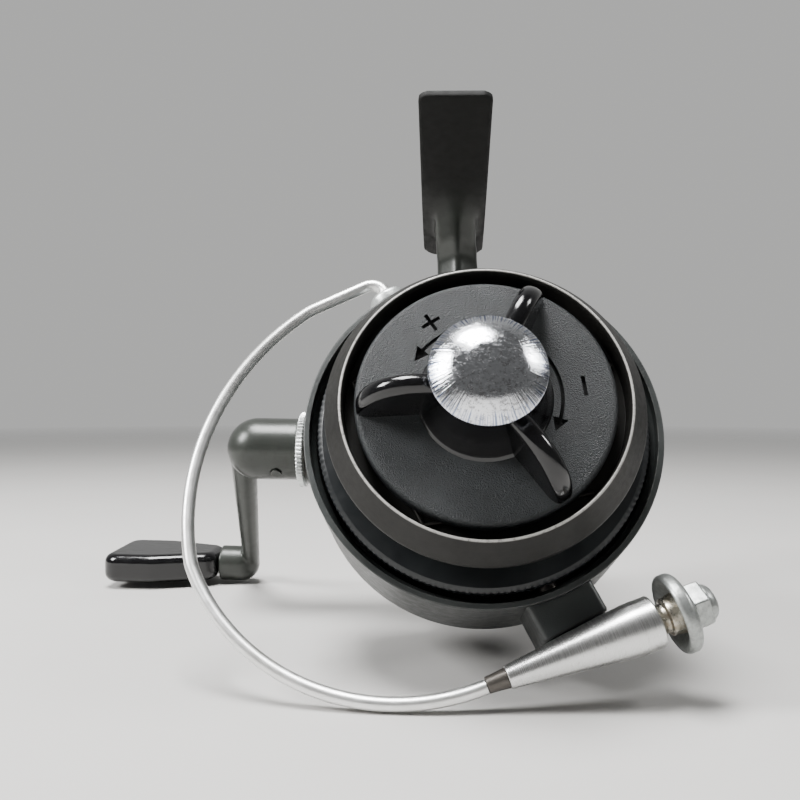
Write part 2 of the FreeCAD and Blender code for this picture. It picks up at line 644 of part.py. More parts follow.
# ---------------------------------------------------------------- bail
CONE_AXIS = Rotation(Vector(0, 1, 0), size("cone_lean")).multVec(Vector(1, 0, 0))
CONE_TURN = BAIL_TURN.multiply(Rotation(Vector(0, 1, 0), CONE_AXIS))     # local Y runs along the cone
CONE_UPRIGHT = CONE_TURN.multiply(Rotation(Vector(1, 0, 0), -90))        # local Z runs along the cone
CONE_START = Vector(-size("cone_side"), -size("cone_fore"), -size("cone_drop"))


def make_bail_wire():
    """The bow: a half loop of round wire in one plane, with a short leg bent into the far end's boss."""
    corner = size("bow_corner")
    extent = size("bow_radius")
    flat = size("bow_radius - bow_flat")               # how far out the loop's flattened corner lies
    shift = (extent ** 2 - 2 * extent * corner + 2 * corner * flat - flat ** 2) / (
        2 * (flat - corner) - math.sqrt(2) * (extent - corner))
    middle_radius = flat + shift
    corner_turn = math.atan2(shift / math.sqrt(2), extent - corner + shift / math.sqrt(2))
    start_turn = math.asin((size("cone_side + ferrule_length") - size("bow_start")) / extent)
    bends = [(extent, math.pi / 2 - start_turn), (corner, corner_turn),
             (middle_radius, math.pi / 2 - 2 * corner_turn), (corner, corner_turn),
             (None, size("end_run")), (size("end_bend"), math.pi / 2), (None, size("end_leg"))]
    body = doc.addObject("PartDesign::Body", "BailWire")
    path = new_sketch(body)
    here = Vector(0, 0, 0)
    heading = start_turn
    for radius, amount in bends:
        way = Vector(math.cos(heading), math.sin(heading), 0)
        if radius is None:
            after = here + way * amount
            path.addGeometry(Part.LineSegment(here, after))
        else:
            side = Vector(-way.y, way.x, 0)
            centre = here + side * radius
            first = math.atan2(-side.y, -side.x)
            circle = Part.Circle(centre, Vector(0, 0, 1), radius)
            path.addGeometry(Part.ArcOfCircle(circle, first, first + amount))
            heading += amount
            after = centre + Vector(math.cos(first + amount), math.sin(first + amount), 0) * radius
        here = after
    for index in range(len(bends) - 1):
        path.addConstraint(Sketcher.Constraint("Coincident", index, 2, index + 1, 1))
    for index in range(len(bends)):
        path.addConstraint(Sketcher.Constraint("Block", index))
    ring = new_sketch(body, "YZ_Plane")
    draw_circle(ring, "wire_radius")
    pipe = body.newObject("PartDesign::AdditivePipe", "Bow")
    pipe.Profile = ring
    pipe.Spine = path
    doc.recompute()
    side_start = size("cone_side + ferrule_length") + 0.1
    drop_start = size("bow_mid") + extent * math.cos(start_turn)
    back_start = size("bail_fore") - size("bail_tilt") * drop_start
    outward = Vector(0, size("bail_tilt"), 1).normalize()
    in_plane = Rotation(Vector(-1, 0, 0), outward, Vector(0, 0, 0), "XYZ")
    place(body, bail_spot(-side_start, back_start, -drop_start), BAIL_TURN.multiply(in_plane))
    finish(body, "bail_wire")


def make_line_guide():
    """The cone and its ferrule, the roller, the dished flange with a rolled rim, and the stud."""
    spot = bail_spot(*CONE_START)
    turned("bail_ferrule", [("0", "0"), ("cone_small - 0.2", "0"),
                            ("wire_radius + 0.15", "-ferrule_length"), ("0", "-ferrule_length")],
           spot, CONE_TURN)
    stud_start = "cone_length - 8"
    turned("line_cone", [("0", "0"), ("cone_small", "0"), ("cone_large", "cone_taper"),
                         ("cone_large", "cone_length"), ("stud_radius", "cone_length"),
                         ("stud_radius", stud_start), ("0", stud_start)], spot, CONE_TURN)
    turned("roller_stud", [("0", stud_start), ("stud_radius", stud_start),
                           ("stud_radius", "cone_length + stud_past"), ("0", "cone_length + stud_past")],
           spot, CONE_TURN)
    inner = "stud_radius + running"
    begin = "cone_length + 0.15"
    end = "cone_length + 0.15 + roller_length"
    turned("line_roller", [
        (inner, begin), ("roller_radius - 0.5", begin), ("roller_radius - 0.8", f"{begin} + 1.3"),
        ("roller_radius - 0.1", f"{begin} + 1.6"), ("roller_radius", f"{begin} + 2.6"),
        ("roller_radius + 0.3", end), (inner, end)], spot, CONE_TURN)
    back = "cone_length + 0.3 + roller_length"
    turned("roller_flange", [("stud_radius", back), ("3.4", back), ("flange_dish - 1.1", f"{back} - 1.5"),
                             ("flange_dish - 0.4", f"{back} - 1.8"), ("flange_dish", f"{back} - 1.3"),
                             ("flange_dish", f"{back} + 0.2"), ("flange_dish - 0.8", f"{back} + 0.8"),
                             ("3.8", f"{back} + 1.2"), ("stud_radius", f"{back} + 1.2")], spot, CONE_TURN)
    make_roller_nut(Vector(*spot) + CONE_TURN.multVec(Vector(0, size(back) + 1.25, 0)))


def make_roller_nut(spot):
    """A domed nut: a hexagon with a rounded cap, blind from the stud's side."""
    body = doc.addObject("PartDesign::Body", "RollerNut")
    flats = new_sketch(body)
    draw_outline(flats, hexagon(size("nut_corner")))
    pad(body, flats, "nut_high")
    dome = new_sketch(body, raised="nut_high")
    draw_circle(dome, "dome_radius")
    cap = pad(body, dome, "dome_high")
    top = size("nut_high + dome_high")
    fillet(body, cap, 1.4, lambda edge, middle: abs(middle.z - top) < 0.01)
    bore = new_sketch(body)
    draw_circle(bore, "stud_radius")
    pocket(body, bore, "nut_high + 1", backwards=True)
    place(body, tuple(spot), CONE_UPRIGHT)
    finish(body, "roller_nut")


def make_bail_arm():
    """The arm turns on the rotor's ear and carries the cone in a saddle."""
    body = doc.addObject("PartDesign::Body", "ArmPlate")
    outline = new_sketch(body)
    draw_outline(outline, [("-plate_left", "12"), ("-plate_left", "3"), ("-plate_left + 1.2", "0.6"),
                           ("plate_right - 1", "0.6"), ("plate_right", "2"), ("plate_right", "6"),
                           ("plate_right - 0.8", "12"), ("-1", "13.4"), ("-5", "13.4")])
    draw_circle(outline, "pivot_hole", "-pivot_side", "pivot_back")
    plate = pad(body, outline, "arm_thick", backwards=True)
    fillet(body, plate, 1.4, upright_edges)
    place(body, bail_spot(0, 0, -size("arm_drop")), BAIL_TURN)
    saddle = doc.addObject("Part::Box", "Saddle")
    saddle.Length = 8.0
    saddle.Width = 5.8
    saddle.Height = 3.2
    place(saddle, bail_spot(-6, -size("cone_fore"), -size("arm_drop") - 3.2), BAIL_TURN)
    cone_room = doc.addObject("Part::Cone", "ConeRoom")
    cone_room.setExpression("Radius1", bound("cone_small"))
    cone_room.setExpression("Radius2", bound("cone_large"))
    cone_room.setExpression("Height", bound("cone_taper"))
    place(cone_room, bail_spot(*CONE_START), CONE_UPRIGHT)
    blank = join("ArmBlank", [body, saddle])
    finish(subtract("BailArm", blank, cone_room), "bail_arm")


def make_end_boss():
    """The round boss at the wire's far end: it turns on its screw and takes the wire's short leg."""
    body = doc.addObject("PartDesign::Body", "EndBoss")
    disc = new_sketch(body)
    draw_circle(disc, "end_boss")
    blank = pad(body, disc, "end_boss_high")
    top = size("end_boss_high")
    fillet(body, blank, 0.8, lambda edge, middle: abs(middle.z - top) < 0.01)
    bore = new_sketch(body)
    draw_circle(bore, "pivot_hole")
    pocket(body, bore, "1", backwards=True)
    seat = new_sketch(body, raised="end_boss_high")
    draw_circle(seat, "wire_radius + 0.3", "0", "-1.45")
    pocket(body, seat, "0.9")
    place(body, bail_spot(*PIVOT + Vector(0, 0, size("boss_in"))), BAIL_TURN)
    finish(body, "bail_end_plate")


def make_bail_pivots():
    """The two shouldered screws that the bail turns on."""
    outwards = Rotation(Vector(1, 0, 0), 90)
    far = [("0", "-5.35"), ("2.7", "-5.35"), ("2.7", "-3.55"), ("pivot_pin", "-3.55"), ("pivot_pin", "0.9"),
           ("0", "0.9")]
    turned("far_pivot_screw", far, bail_spot(*PIVOT + Vector(0, 0, size("boss_in"))),
           BAIL_TURN.multiply(outwards))
    head = "arm_thick + 0.15"
    near = [("0", "-10"), ("pivot_pin", "-10"), ("pivot_pin", head), ("3.2", head),
            ("3.2", f"{head} + 0.85"), ("2.6", f"{head} + 1.35"), ("0", f"{head} + 1.35")]
    turned("near_pivot_screw", near, bail_spot(*PIVOT - Vector(0, 0, size("arm_drop"))),
           BAIL_TURN.multiply(outwards.inverted()))


def make_bail_spring():
    """A hairpin of round wire inside the cup: a half turn about the near pivot and two legs."""
    across = 2.4
    long_leg = Vector(-across, 8, 0)
    short_leg = Vector(across, 5, 0)
    turn_start = Vector(-across, 0, 0)
    turn_end = Vector(across, 0, 0)
    half_turn = Part.Arc(turn_start, Vector(0, -across, 0), turn_end).toShape()
    path = Part.Wire([Part.makeLine(long_leg, turn_start), half_turn, Part.makeLine(turn_end, short_leg)])
    wire = Part.Wire(Part.makeCircle(0.35, long_leg, Vector(0, 1, 0)))
    built("bail_spring", path.makePipeShell([wire], True, True), bail_spot(*PIVOT - Vector(0, 0, 27.5)),
          BAIL_TURN)


def make_trip_lever():
    """The lever in the rotor that lets the bail snap shut when the crank is turned."""
    outline = [("-2.4", "-2.4"), ("2.4", "-2.4"), ("2.4", "6.4"), ("0.8", "8.8"), ("-2.4", "8.8")]
    turn = BAIL_TURN.multiply(Rotation(Vector(1, 0, 0), -90))
    prism("trip_lever", outline, "1.2", bail_spot(-7, 19.8, -13.5), turn, holes=[("1.26",)])
    finish(rod("TripPin", "1.2", "3.2", bail_spot(-7, 18.8, -13.5), (0, 1, 0)), "trip_lever_pin")


# ---------------------------------------------------------------- spool, shaft and drag
def make_spool():
    """The spool: a drum with the line's arbor and the rear flange, and the metal lip at its front."""
    turned("spool_drum", [
        ("arbor_radius", "-well_front"), ("arbor_radius", "-well_back"),
        ("flange_radius - 1", "-well_back"),
        ("flange_radius", "-well_back + 0.6"), ("flange_radius", "1.4"), ("11", "1.4"), ("11", "3"),
        ("7", "4.4"),
        ("shaft_radius + running", "4.4"), ("shaft_radius + running", "-well_front + 4.4"),
        ("washer_pocket", "-well_front + 4.4"), ("washer_pocket", "-well_front")])
    turned("spool_lip", [
        ("washer_pocket", "-well_front"), ("lip_large - 1.6", "-well_front"),
        ("lip_large", "-lip_edge + 0.9"),
        ("lip_large", "-lip_edge"), ("lip_small", "-lip_front"), ("lip_small - 0.35", "-lip_front"),
        ("recess_radius", "-lip_front + 0.8"), ("recess_radius", "-well_front - 1.8"),
        ("washer_pocket", "-well_front - 1.8")])


def make_shaft():
    """The main shaft, its collar behind the spool, and the slider that moves it fore and aft."""
    turned("main_shaft", [("0", "-15.4"), ("shaft_radius", "-15.4"), ("shaft_radius", "50"), ("0", "50")])
    turned("shaft_collar", [("shaft_radius", "4.5"), ("5", "4.5"), ("5", "6.2"), ("shaft_radius", "6.2")])
    forward = Rotation(Vector(1, 0, 0), 90)
    toothed("click_ratchet", 24, "8", "7.2", "0.9", "shaft_radius", (0, 7.2, 0), forward)
    block = doc.addObject("Part::Box", "SliderBlock")
    block.Length = 8.0
    block.Width = 5.0
    block.Height = 8.6
    place(block, (-4.0, 44.8, -4.3))
    body = doc.addObject("PartDesign::Body", "SliderPlate")
    outline = new_sketch(body)
    draw_outline(outline, [("44.8", "-4"), ("49.8", "-4"), ("49.8", "6"), ("47.6", "8"), ("47.6", "16.4"),
                           ("39.4", "16.4"), ("39.4", "5.4"), ("44.8", "5.4")])
    draw_outline(outline, [("41.9", "6.6"), ("45.1", "6.6"), ("45.1", "14.9"), ("41.9", "14.9")])
    pad(body, outline, "1.4")
    place(body, (-4.4, 0, 0), SIDEWAYS)
    hole = rod("SliderHole", "shaft_radius", "8", (0, 43, 0), (0, 1, 0))
    finish(subtract("Slider", join("SliderBlank", [block, body]), hole), "oscillation_slider")


def make_drag():
    """The washer stack in the spool's pocket, its retaining clip and its pressure spring."""
    fibre = []
    steel = []
    for layer in range(5):
        front = -size("well_front") - 0.6 + layer * 0.98
        disc = Part.makeCylinder(11.9, 0.9, Vector(0, front, 0), Vector(0, 1, 0))
        hole = Part.makeCylinder(size("shaft_radius") + 0.1, 0.9, Vector(0, front, 0), Vector(0, 1, 0))
        (fibre if layer % 2 == 0 else steel).append(disc.cut(hole))
    built("drag_fibre_washers", Part.makeCompound(fibre))
    built("drag_steel_washers", Part.makeCompound(steel))
    inner = "shaft_radius + 0.1"
    front = "-well_front - 1.3"
    back = "-well_front - 0.65"
    turned("drag_pressure_plate", [(inner, front), ("11.4", front), ("11.4", back), (inner, back)])
    coil("drag_spring", 5.0, 0.3, 0.6, 1.2, (0, -9.75, 0))


def make_drag_clip():
    """A bent wire spring with straight stretches that sits in the spool's recess."""
    outer = size("recess_radius") - 0.6
    corners = [Vector(outer * math.cos(math.radians(angle)), 0, outer * math.sin(math.radians(angle)))
               for angle in (20, 95, 170, 245, 320)]
    path = Part.makePolygon(corners)
    start = Part.Wire(Part.makeCircle(0.35, corners[0], corners[1] - corners[0]))
    shape = path.makePipeShell([start], True, True, 1)
    built("drag_clip", shape, (0, -size("well_front") - 1.8 - 0.4, 0))


def wing(label, angle):
    """One tall fin of the drag knob, from the hub out to the disc's edge."""
    body = doc.addObject("PartDesign::Body", label)
    outline = new_sketch(body, "XY_Plane", "0 - wing_thick / 2")
    edge = "disc_radius - 0.35"
    draw_outline(outline, [
        ("5.8", "-disc_front + 1"), ("5.8", "-hub_front + 0.5"), ("9.6", "-hub_front - 0.6"),
        ("13.5", "-hub_front - 0.5"), ("17", "-hub_front + 1.2"), ("19.6", "-hub_front + 4.2"),
        (edge, "-disc_front - 1"), (edge, "-disc_front + 1")])
    fin = pad(body, outline, "wing_thick")
    half = size("wing_thick / 2")
    fillet(body, fin, 1.6, lambda edge, middle: middle.y < -size("disc_front") - 1 and middle.x > 6.2
           and abs(abs(middle.z) - half) < 0.01)
    place(body, turn=Rotation(Vector(0, 1, 0), -angle))
    return body


def make_drag_knob():
    """The round knob with three fins and a hollow hub for the release button."""
    disc = turned("KnobDisc", [
        ("5.6", "-hub_front"), ("hub_radius", "-hub_front"), ("hub_base", "-disc_front"),
        ("disc_radius - 0.9", "-disc_front"), ("disc_radius", "-disc_front + 0.9"),
        ("disc_radius", "-disc_back"), ("3.1", "-disc_back"), ("3.1", "-disc_back - 4.4"),
        ("5.6", "-disc_back - 4.4")])
    FINISHED.remove(disc)
    fins = [wing(f"Wing{index}", angle) for index, angle in enumerate((66, 186, 306))]
    blank = join("KnobBlank", [disc] + fins)
    bore = rod("ButtonBore", "button_stem + 0.1", "9", (0, -size("hub_front") - 1, 0), (0, 1, 0))
    finish(subtract("DragKnob", blank, bore), "drag_knob")
    front = "-disc_back - 4"
    turned("drag_nut", [("shaft_radius", front), ("3.1", front), ("3.1", "-disc_back"),
                        ("shaft_radius", "-disc_back")])


def make_button():
    """The domed release button on its stem, with its return spring."""
    rim = "-button_rim"
    bottom = f"{rim} + 7"
    turned("release_button", [
        ("3.6", bottom), ("button_stem", bottom), ("button_stem", f"{rim} + 0.9"),
        ("button_radius - 0.3", f"{rim} + 0.9"), ("button_radius", f"{rim} + 0.5"), ("button_radius", rim),
        ("button_radius - 1.4", f"{rim} - 1"), ("5.4", "-button_front + 0.9"),
        ("2.8", "-button_front + 0.2"), ("0", "-button_front"), ("0", f"{rim} + 2"),
        ("3.6", f"{rim} + 2")])
    make_button_spring()


def make_button_spring():
    """A folded sleeve of spring steel, like a bellows, between the button's crown and the drag nut."""
    valley, ridge, sheet, folds, pitch = 2.92, 3.2, 0.2, 10, 0.66
    start = 2.4 - size("button_rim")
    inside = [(ridge if fold % 2 else valley, start + fold * pitch) for fold in range(folds + 1)]
    outside = [(radius + sheet, station) for radius, station in reversed(inside)]
    turned("button_spring", [(f"{radius:.2f}", f"{station:.3f}") for radius, station in inside + outside])


make_housing()
make_side_cover()
make_cover_screws()
make_case_bearings()
make_crank()
make_crank_fittings()
make_knob()
make_drive_gear()
make_anti_reverse()
make_pinion()
make_rotor()
make_rotor_fittings()
make_bail_wire()
make_line_guide()
make_bail_arm()
make_end_boss()
make_bail_pivots()
make_bail_spring()
make_trip_lever()
make_spool()
make_shaft()
make_drag()
make_drag_clip()
make_drag_knob()
make_button()
doc.recompute()

# ---------------------------------------------------------------- checks and writing out
for thing in doc.Objects:
    if "Invalid" in thing.State or "Error" in thing.State:
        raise RuntimeError(f"{thing.Label} failed: {thing.State}")
for thing in FINISHED:
    if thing.Shape.isNull() or not thing.Shape.isValid():
        raise RuntimeError(f"{thing.Label} has no valid shape")
    if not thing.Shape.Solids or thing.Shape.Volume <= 0:
        raise RuntimeError(f"{thing.Label} has no solid")

os.makedirs("parts", exist_ok=True)
for thing in FINISHED:
    thing.Shape.exportStep(os.path.join("parts", thing.Label + ".step"))
    print(f"{thing.Label:24s} {len(thing.Shape.Solids)} solids {thing.Shape.Volume:10.1f} mm3")
print(len(FINISHED), "pieces")
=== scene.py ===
"""Looks of an open-face fishing reel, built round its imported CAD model.

Lengths in this script are millimetres unless a name says otherwise, and `point` turns them into the
row frame's metres. The reel point is the spool's axis at the plane of the rotor's rim. The bail has
its own directions, which BAIL turns into the reel's: side, back and out, along its pivots' line.
"""

import bmesh
import bpy
import json
import math
from mathutils import Matrix, Vector


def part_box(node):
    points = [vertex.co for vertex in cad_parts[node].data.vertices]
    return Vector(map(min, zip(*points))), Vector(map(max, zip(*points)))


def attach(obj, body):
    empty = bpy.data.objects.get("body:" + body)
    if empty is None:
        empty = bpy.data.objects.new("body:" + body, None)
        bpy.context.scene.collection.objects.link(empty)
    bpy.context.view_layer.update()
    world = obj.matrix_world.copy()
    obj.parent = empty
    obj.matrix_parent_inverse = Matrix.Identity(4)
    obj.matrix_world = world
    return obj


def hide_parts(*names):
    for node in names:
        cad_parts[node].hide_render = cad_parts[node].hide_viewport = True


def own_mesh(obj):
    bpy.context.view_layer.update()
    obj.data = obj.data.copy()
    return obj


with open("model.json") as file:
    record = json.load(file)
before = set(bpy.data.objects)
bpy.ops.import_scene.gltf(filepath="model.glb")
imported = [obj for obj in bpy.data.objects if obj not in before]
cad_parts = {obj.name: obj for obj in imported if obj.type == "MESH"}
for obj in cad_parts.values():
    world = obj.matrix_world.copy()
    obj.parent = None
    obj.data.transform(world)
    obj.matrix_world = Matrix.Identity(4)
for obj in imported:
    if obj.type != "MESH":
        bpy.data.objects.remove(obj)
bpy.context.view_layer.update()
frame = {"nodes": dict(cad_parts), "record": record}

MM = 0.001
LIP_AHEAD = 13.9                                       # the spool lip's front, before the rim plane


# ---------------------------------------------------------------- places, taken from the CAD model
def middle_of(node):
    low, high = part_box(node)
    return (low + high) / 2


REEL = Vector((middle_of("main_shaft").x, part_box("spool_lip")[0].y + LIP_AHEAD * MM,
               middle_of("main_shaft").z))
UPRIGHT = Matrix.Identity(3)
ALONG_X = Matrix.Rotation(math.radians(-90), 3, "Z")   # a turned piece's axis along +X
BAIL = Matrix.Rotation(math.radians(-28), 3, "Y")
INWARD = BAIL @ Matrix.Rotation(math.radians(90), 3, "X")   # a turned piece on the pivots' line
PIVOT_SIDE, PIVOT_BACK = -2.4, 6.0
CRANK_BACK, CRANK_UP = 40.0, 9.5
CONE_LENGTH = 24.3
CONE_TURN = BAIL @ Matrix.Rotation(math.radians(6.3), 3, "Y") @ ALONG_X
CONE_SIDE = 16.1
CONE_START = BAIL @ Vector((-CONE_SIDE, -3.2, -38.3))
DISC_FRONT = -13.6                                     # the drag knob's face


def point(place):
    """A place in millimetres about the reel point, in the row frame's metres."""
    return REEL + Vector(place) * MM


# ---------------------------------------------------------------- materials
class Finish:
    """A node material being put together: its shader, and its place in millimetres for textures."""

    def __init__(self, name, **constants):
        self.material = bpy.data.materials.new(name)
        self.material.use_nodes = True
        self.tree = self.material.node_tree
        self.tree.nodes.clear()
        output = self.tree.nodes.new("ShaderNodeOutputMaterial")
        self.shader = self.tree.nodes.new("ShaderNodeBsdfPrincipled")
        self.tree.links.new(self.shader.outputs[0], output.inputs[0])
        for socket, value in constants.items():
            self.shader.inputs[socket.replace("_", " ")].default_value = value
        coordinates = self.tree.nodes.new("ShaderNodeTexCoord")
        scaled = self.tree.nodes.new("ShaderNodeVectorMath")
        scaled.operation = "SCALE"
        scaled.inputs["Scale"].default_value = 1000
        self.tree.links.new(coordinates.outputs["Object"], scaled.inputs[0])
        self.place = scaled.outputs[0]

    def put(self, socket, value):
        """Give an input either a constant or another node's output."""
        if isinstance(value, bpy.types.NodeSocket):
            self.tree.links.new(value, socket)
        else:
            socket.default_value = value

    def noise(self, per_mm, detail=2.0, rough=0.5, stretch=(1, 1, 1), warp=0.0):
        """Soft noise with that many bumps per millimetre, stretched along the axes."""
        mapping = self.tree.nodes.new("ShaderNodeMapping")
        mapping.inputs["Scale"].default_value = stretch
        self.put(mapping.inputs["Vector"], self.place)
        texture = self.tree.nodes.new("ShaderNodeTexNoise")
        texture.inputs["Scale"].default_value = per_mm
        texture.inputs["Detail"].default_value = detail
        texture.inputs["Roughness"].default_value = rough
        texture.inputs["Distortion"].default_value = warp
        self.put(texture.inputs["Vector"], mapping.outputs[0])
        return texture.outputs["Fac"]

    def cells(self, per_mm):
        """Rounded cells, as on a grained or cast surface: 0 at each cell's middle."""
        texture = self.tree.nodes.new("ShaderNodeTexVoronoi")
        texture.inputs["Scale"].default_value = per_mm
        self.put(texture.inputs["Vector"], self.place)
        return texture.outputs["Distance"]

    def spread(self, value, low, high, to_low=0.0, to_high=1.0):
        """Map a value's range to another one, clamped."""
        node = self.tree.nodes.new("ShaderNodeMapRange")
        node.clamp = True
        self.put(node.inputs["Value"], value)
        node.inputs["From Min"].default_value = low
        node.inputs["From Max"].default_value = high
        node.inputs["To Min"].default_value = to_low
        node.inputs["To Max"].default_value = to_high
        return node.outputs["Result"]

    def sum(self, kind, first, second):
        """A math node on two values."""
        node = self.tree.nodes.new("ShaderNodeMath")
        node.operation = kind
        self.put(node.inputs[0], first)
        self.put(node.inputs[1], second)
        return node.outputs[0]

    def tint(self, factor, first, second):
        """A colour between two colours."""
        node = self.tree.nodes.new("ShaderNodeMix")
        node.data_type = "RGBA"
        self.put(node.inputs["Factor"], factor)
        for socket, colour in ((node.inputs[6], first), (node.inputs[7], second)):
            self.put(socket, colour if isinstance(colour, bpy.types.NodeSocket) else (*colour, 1.0))
        return node.outputs[2]

    def colour(self, value):
        self.put(self.shader.inputs["Base Color"], value)

    def roughness(self, value):
        self.put(self.shader.inputs["Roughness"], value)

    def bumps(self, *heights):
        """Stack bump layers, each a (height, depth in millimetres) pair."""
        before = None
        for height, depth in heights:
            node = self.tree.nodes.new("ShaderNodeBump")
            node.inputs["Distance"].default_value = depth * MM
            self.put(node.inputs["Height"], height)
            if before:
                self.put(node.inputs["Normal"], before)
            before = node.outputs[0]
        self.put(self.shader.inputs["Normal"], before)

    def worn_edges(self, width):
        """1 on sharp outer edges, broken up by noise, and 0 on flat places."""
        rounded = self.tree.nodes.new("ShaderNodeBevel")
        rounded.samples = 4
        rounded.inputs["Radius"].default_value = width * MM
        geometry = self.tree.nodes.new("ShaderNodeNewGeometry")
        alike = self.tree.nodes.new("ShaderNodeVectorMath")
        alike.operation = "DOT_PRODUCT"
        self.put(alike.inputs[0], rounded.outputs[0])
        self.put(alike.inputs[1], geometry.outputs["Normal"])
        edge = self.spread(alike.outputs["Value"], 0.985, 0.90)
        return self.sum("MULTIPLY", edge, self.spread(self.noise(0.7, 4.0, 0.7), 0.42, 0.6))

    def around_axis(self, centre):
        """Radius (mm) and angle (radians) about the line along Y through a place in metres."""
        shifted = self.tree.nodes.new("ShaderNodeVectorMath")
        shifted.operation = "SUBTRACT"
        self.put(shifted.inputs[0], self.place)
        shifted.inputs[1].default_value = Vector(centre) / MM
        parts = []
        for way in ((1, 0, 0), (0, 0, 1)):
            part = self.tree.nodes.new("ShaderNodeVectorMath")
            part.operation = "DOT_PRODUCT"
            self.put(part.inputs[0], shifted.outputs[0])
            part.inputs[1].default_value = way
            parts.append(part.outputs["Value"])
        squares = [self.sum("MULTIPLY", part, part) for part in parts]
        radius = self.sum("SQRT", self.sum("ADD", *squares), 0.0)
        return radius, self.sum("ARCTAN2", parts[1], parts[0])


def cast_paint():
    """Dark grey-green satin paint with fine grain and worn edges; matt at the foot, where painted
    shade makes it near black.
    """
    finish = Finish("case_paint", Specular_IOR_Level=0.2, Coat_Roughness=0.28)
    patches = finish.noise(0.09, 3.0, 0.6)
    patches = finish.spread(patches, 0.35, 0.65)
    base = finish.tint(patches, (0.027, 0.030, 0.026), (0.038, 0.042, 0.037))
    grime = finish.spread(finish.noise(0.5, 5.0, 0.7), 0.50, 0.72, 0.0, 0.6)
    base = finish.tint(grime, base, (0.022, 0.022, 0.019))
    split = finish.tree.nodes.new("ShaderNodeSeparateXYZ")
    finish.put(split.inputs[0], finish.place)
    # painted shade: towards the foot the paint turns near black
    at_foot = finish.spread(split.outputs["Z"], -4.6, -2.6)
    base = finish.tint(at_foot, base, (0.0035, 0.0035, 0.003))
    less_at_foot = finish.spread(at_foot, 0.0, 1.0, 1.0, 0.25)
    worn = finish.sum("MULTIPLY", finish.worn_edges(0.35), less_at_foot)
    finish.colour(finish.tint(worn, base, (0.22, 0.22, 0.20)))
    smooth = finish.spread(finish.noise(0.5, 4.0, 0.6), 0.3, 0.7, 0.30, 0.44)
    finish.roughness(finish.sum("ADD", smooth, finish.spread(at_foot, 0.0, 1.0, 0.0, 0.25)))
    finish.put(finish.shader.inputs["Coat Weight"], finish.spread(at_foot, 0.0, 1.0, 0.5, 0.0))
    finish.put(finish.shader.inputs["Metallic"], finish.spread(at_foot, 0.0, 1.0, 0.35, 0.0))
    finish.bumps((finish.noise(3.2, 3.0, 0.55), 0.014), (finish.noise(0.25, 2.0, 0.5), 0.08))
    return finish.material


def rotor_paint():
    """Charcoal satin paint with a fine pebbled texture and a thin rub along the rim."""
    finish = Finish("rotor_paint", Metallic=0.2, Coat_Weight=0.15, Coat_Roughness=0.35)
    patches = finish.noise(0.08, 3.0, 0.6)
    patches = finish.spread(patches, 0.35, 0.65)
    base = finish.tint(patches, (0.024, 0.027, 0.026), (0.036, 0.040, 0.039))
    specks = finish.spread(finish.noise(4.5, 2.0, 0.6), 0.62, 0.72, 0.0, 0.3)
    base = finish.tint(specks, base, (0.07, 0.073, 0.07))
    finish.colour(finish.tint(finish.worn_edges(0.25), base, (0.20, 0.20, 0.19)))
    finish.roughness(finish.spread(finish.noise(0.6, 4.0, 0.6), 0.3, 0.7, 0.34, 0.50))
    finish.bumps((finish.cells(3.6), 0.018), (finish.noise(0.3, 2.0, 0.5), 0.05))
    return finish.material


def spool_black():
    """Blue-black semi-gloss plastic with faint handling haze."""
    finish = Finish("spool_black", Specular_IOR_Level=0.45)
    haze = finish.spread(finish.noise(0.15, 5.0, 0.65), 0.35, 0.75)
    finish.colour(finish.tint(haze, (0.006, 0.007, 0.008), (0.012, 0.014, 0.015)))
    finish.roughness(finish.spread(finish.noise(0.4, 4.0, 0.6), 0.3, 0.7, 0.28, 0.42))
    finish.bumps((finish.noise(1.2, 3.0, 0.5), 0.012))
    return finish.material


def lip_metal():
    """Dark pewter with circular turning marks and hairline nicks; its bright front edge is partly
    wear and partly a painted highlight.
    """
    finish = Finish("lip_metal", Metallic=0.25, Specular_IOR_Level=0.3)
    radius = finish.around_axis(REEL)[0]
    marks = finish.tree.nodes.new("ShaderNodeTexNoise")
    marks.noise_dimensions = "1D"
    marks.inputs["Scale"].default_value = 9.0
    marks.inputs["Detail"].default_value = 3.0
    finish.put(marks.inputs["W"], radius)
    grime = finish.spread(finish.noise(0.12, 4.0, 0.6), 0.35, 0.7)
    base = finish.tint(grime, (0.014, 0.0135, 0.012), (0.009, 0.0087, 0.008))
    # a bright ring at the front edge: partly wear, partly a painted highlight
    outside_recess = finish.spread(radius, 22.90, 23.02)
    inside_slope = finish.spread(radius, 23.42, 23.26)
    edge = finish.sum("MULTIPLY", outside_recess, inside_slope)
    nicks = finish.spread(finish.noise(1.3, 5.0, 0.75), 0.30, 0.48, 0.25, 1.0)
    worn_and_highlit_edge = finish.sum("MULTIPLY", edge, nicks)
    finish.colour(finish.tint(worn_and_highlit_edge, base, (0.42, 0.41, 0.39)))
    finish.roughness(finish.spread(finish.noise(0.9, 4.0, 0.6), 0.3, 0.7, 0.40, 0.54))
    finish.bumps((marks.outputs["Fac"], 0.010), (finish.noise(2.5, 3.0, 0.5), 0.008))
    return finish.material


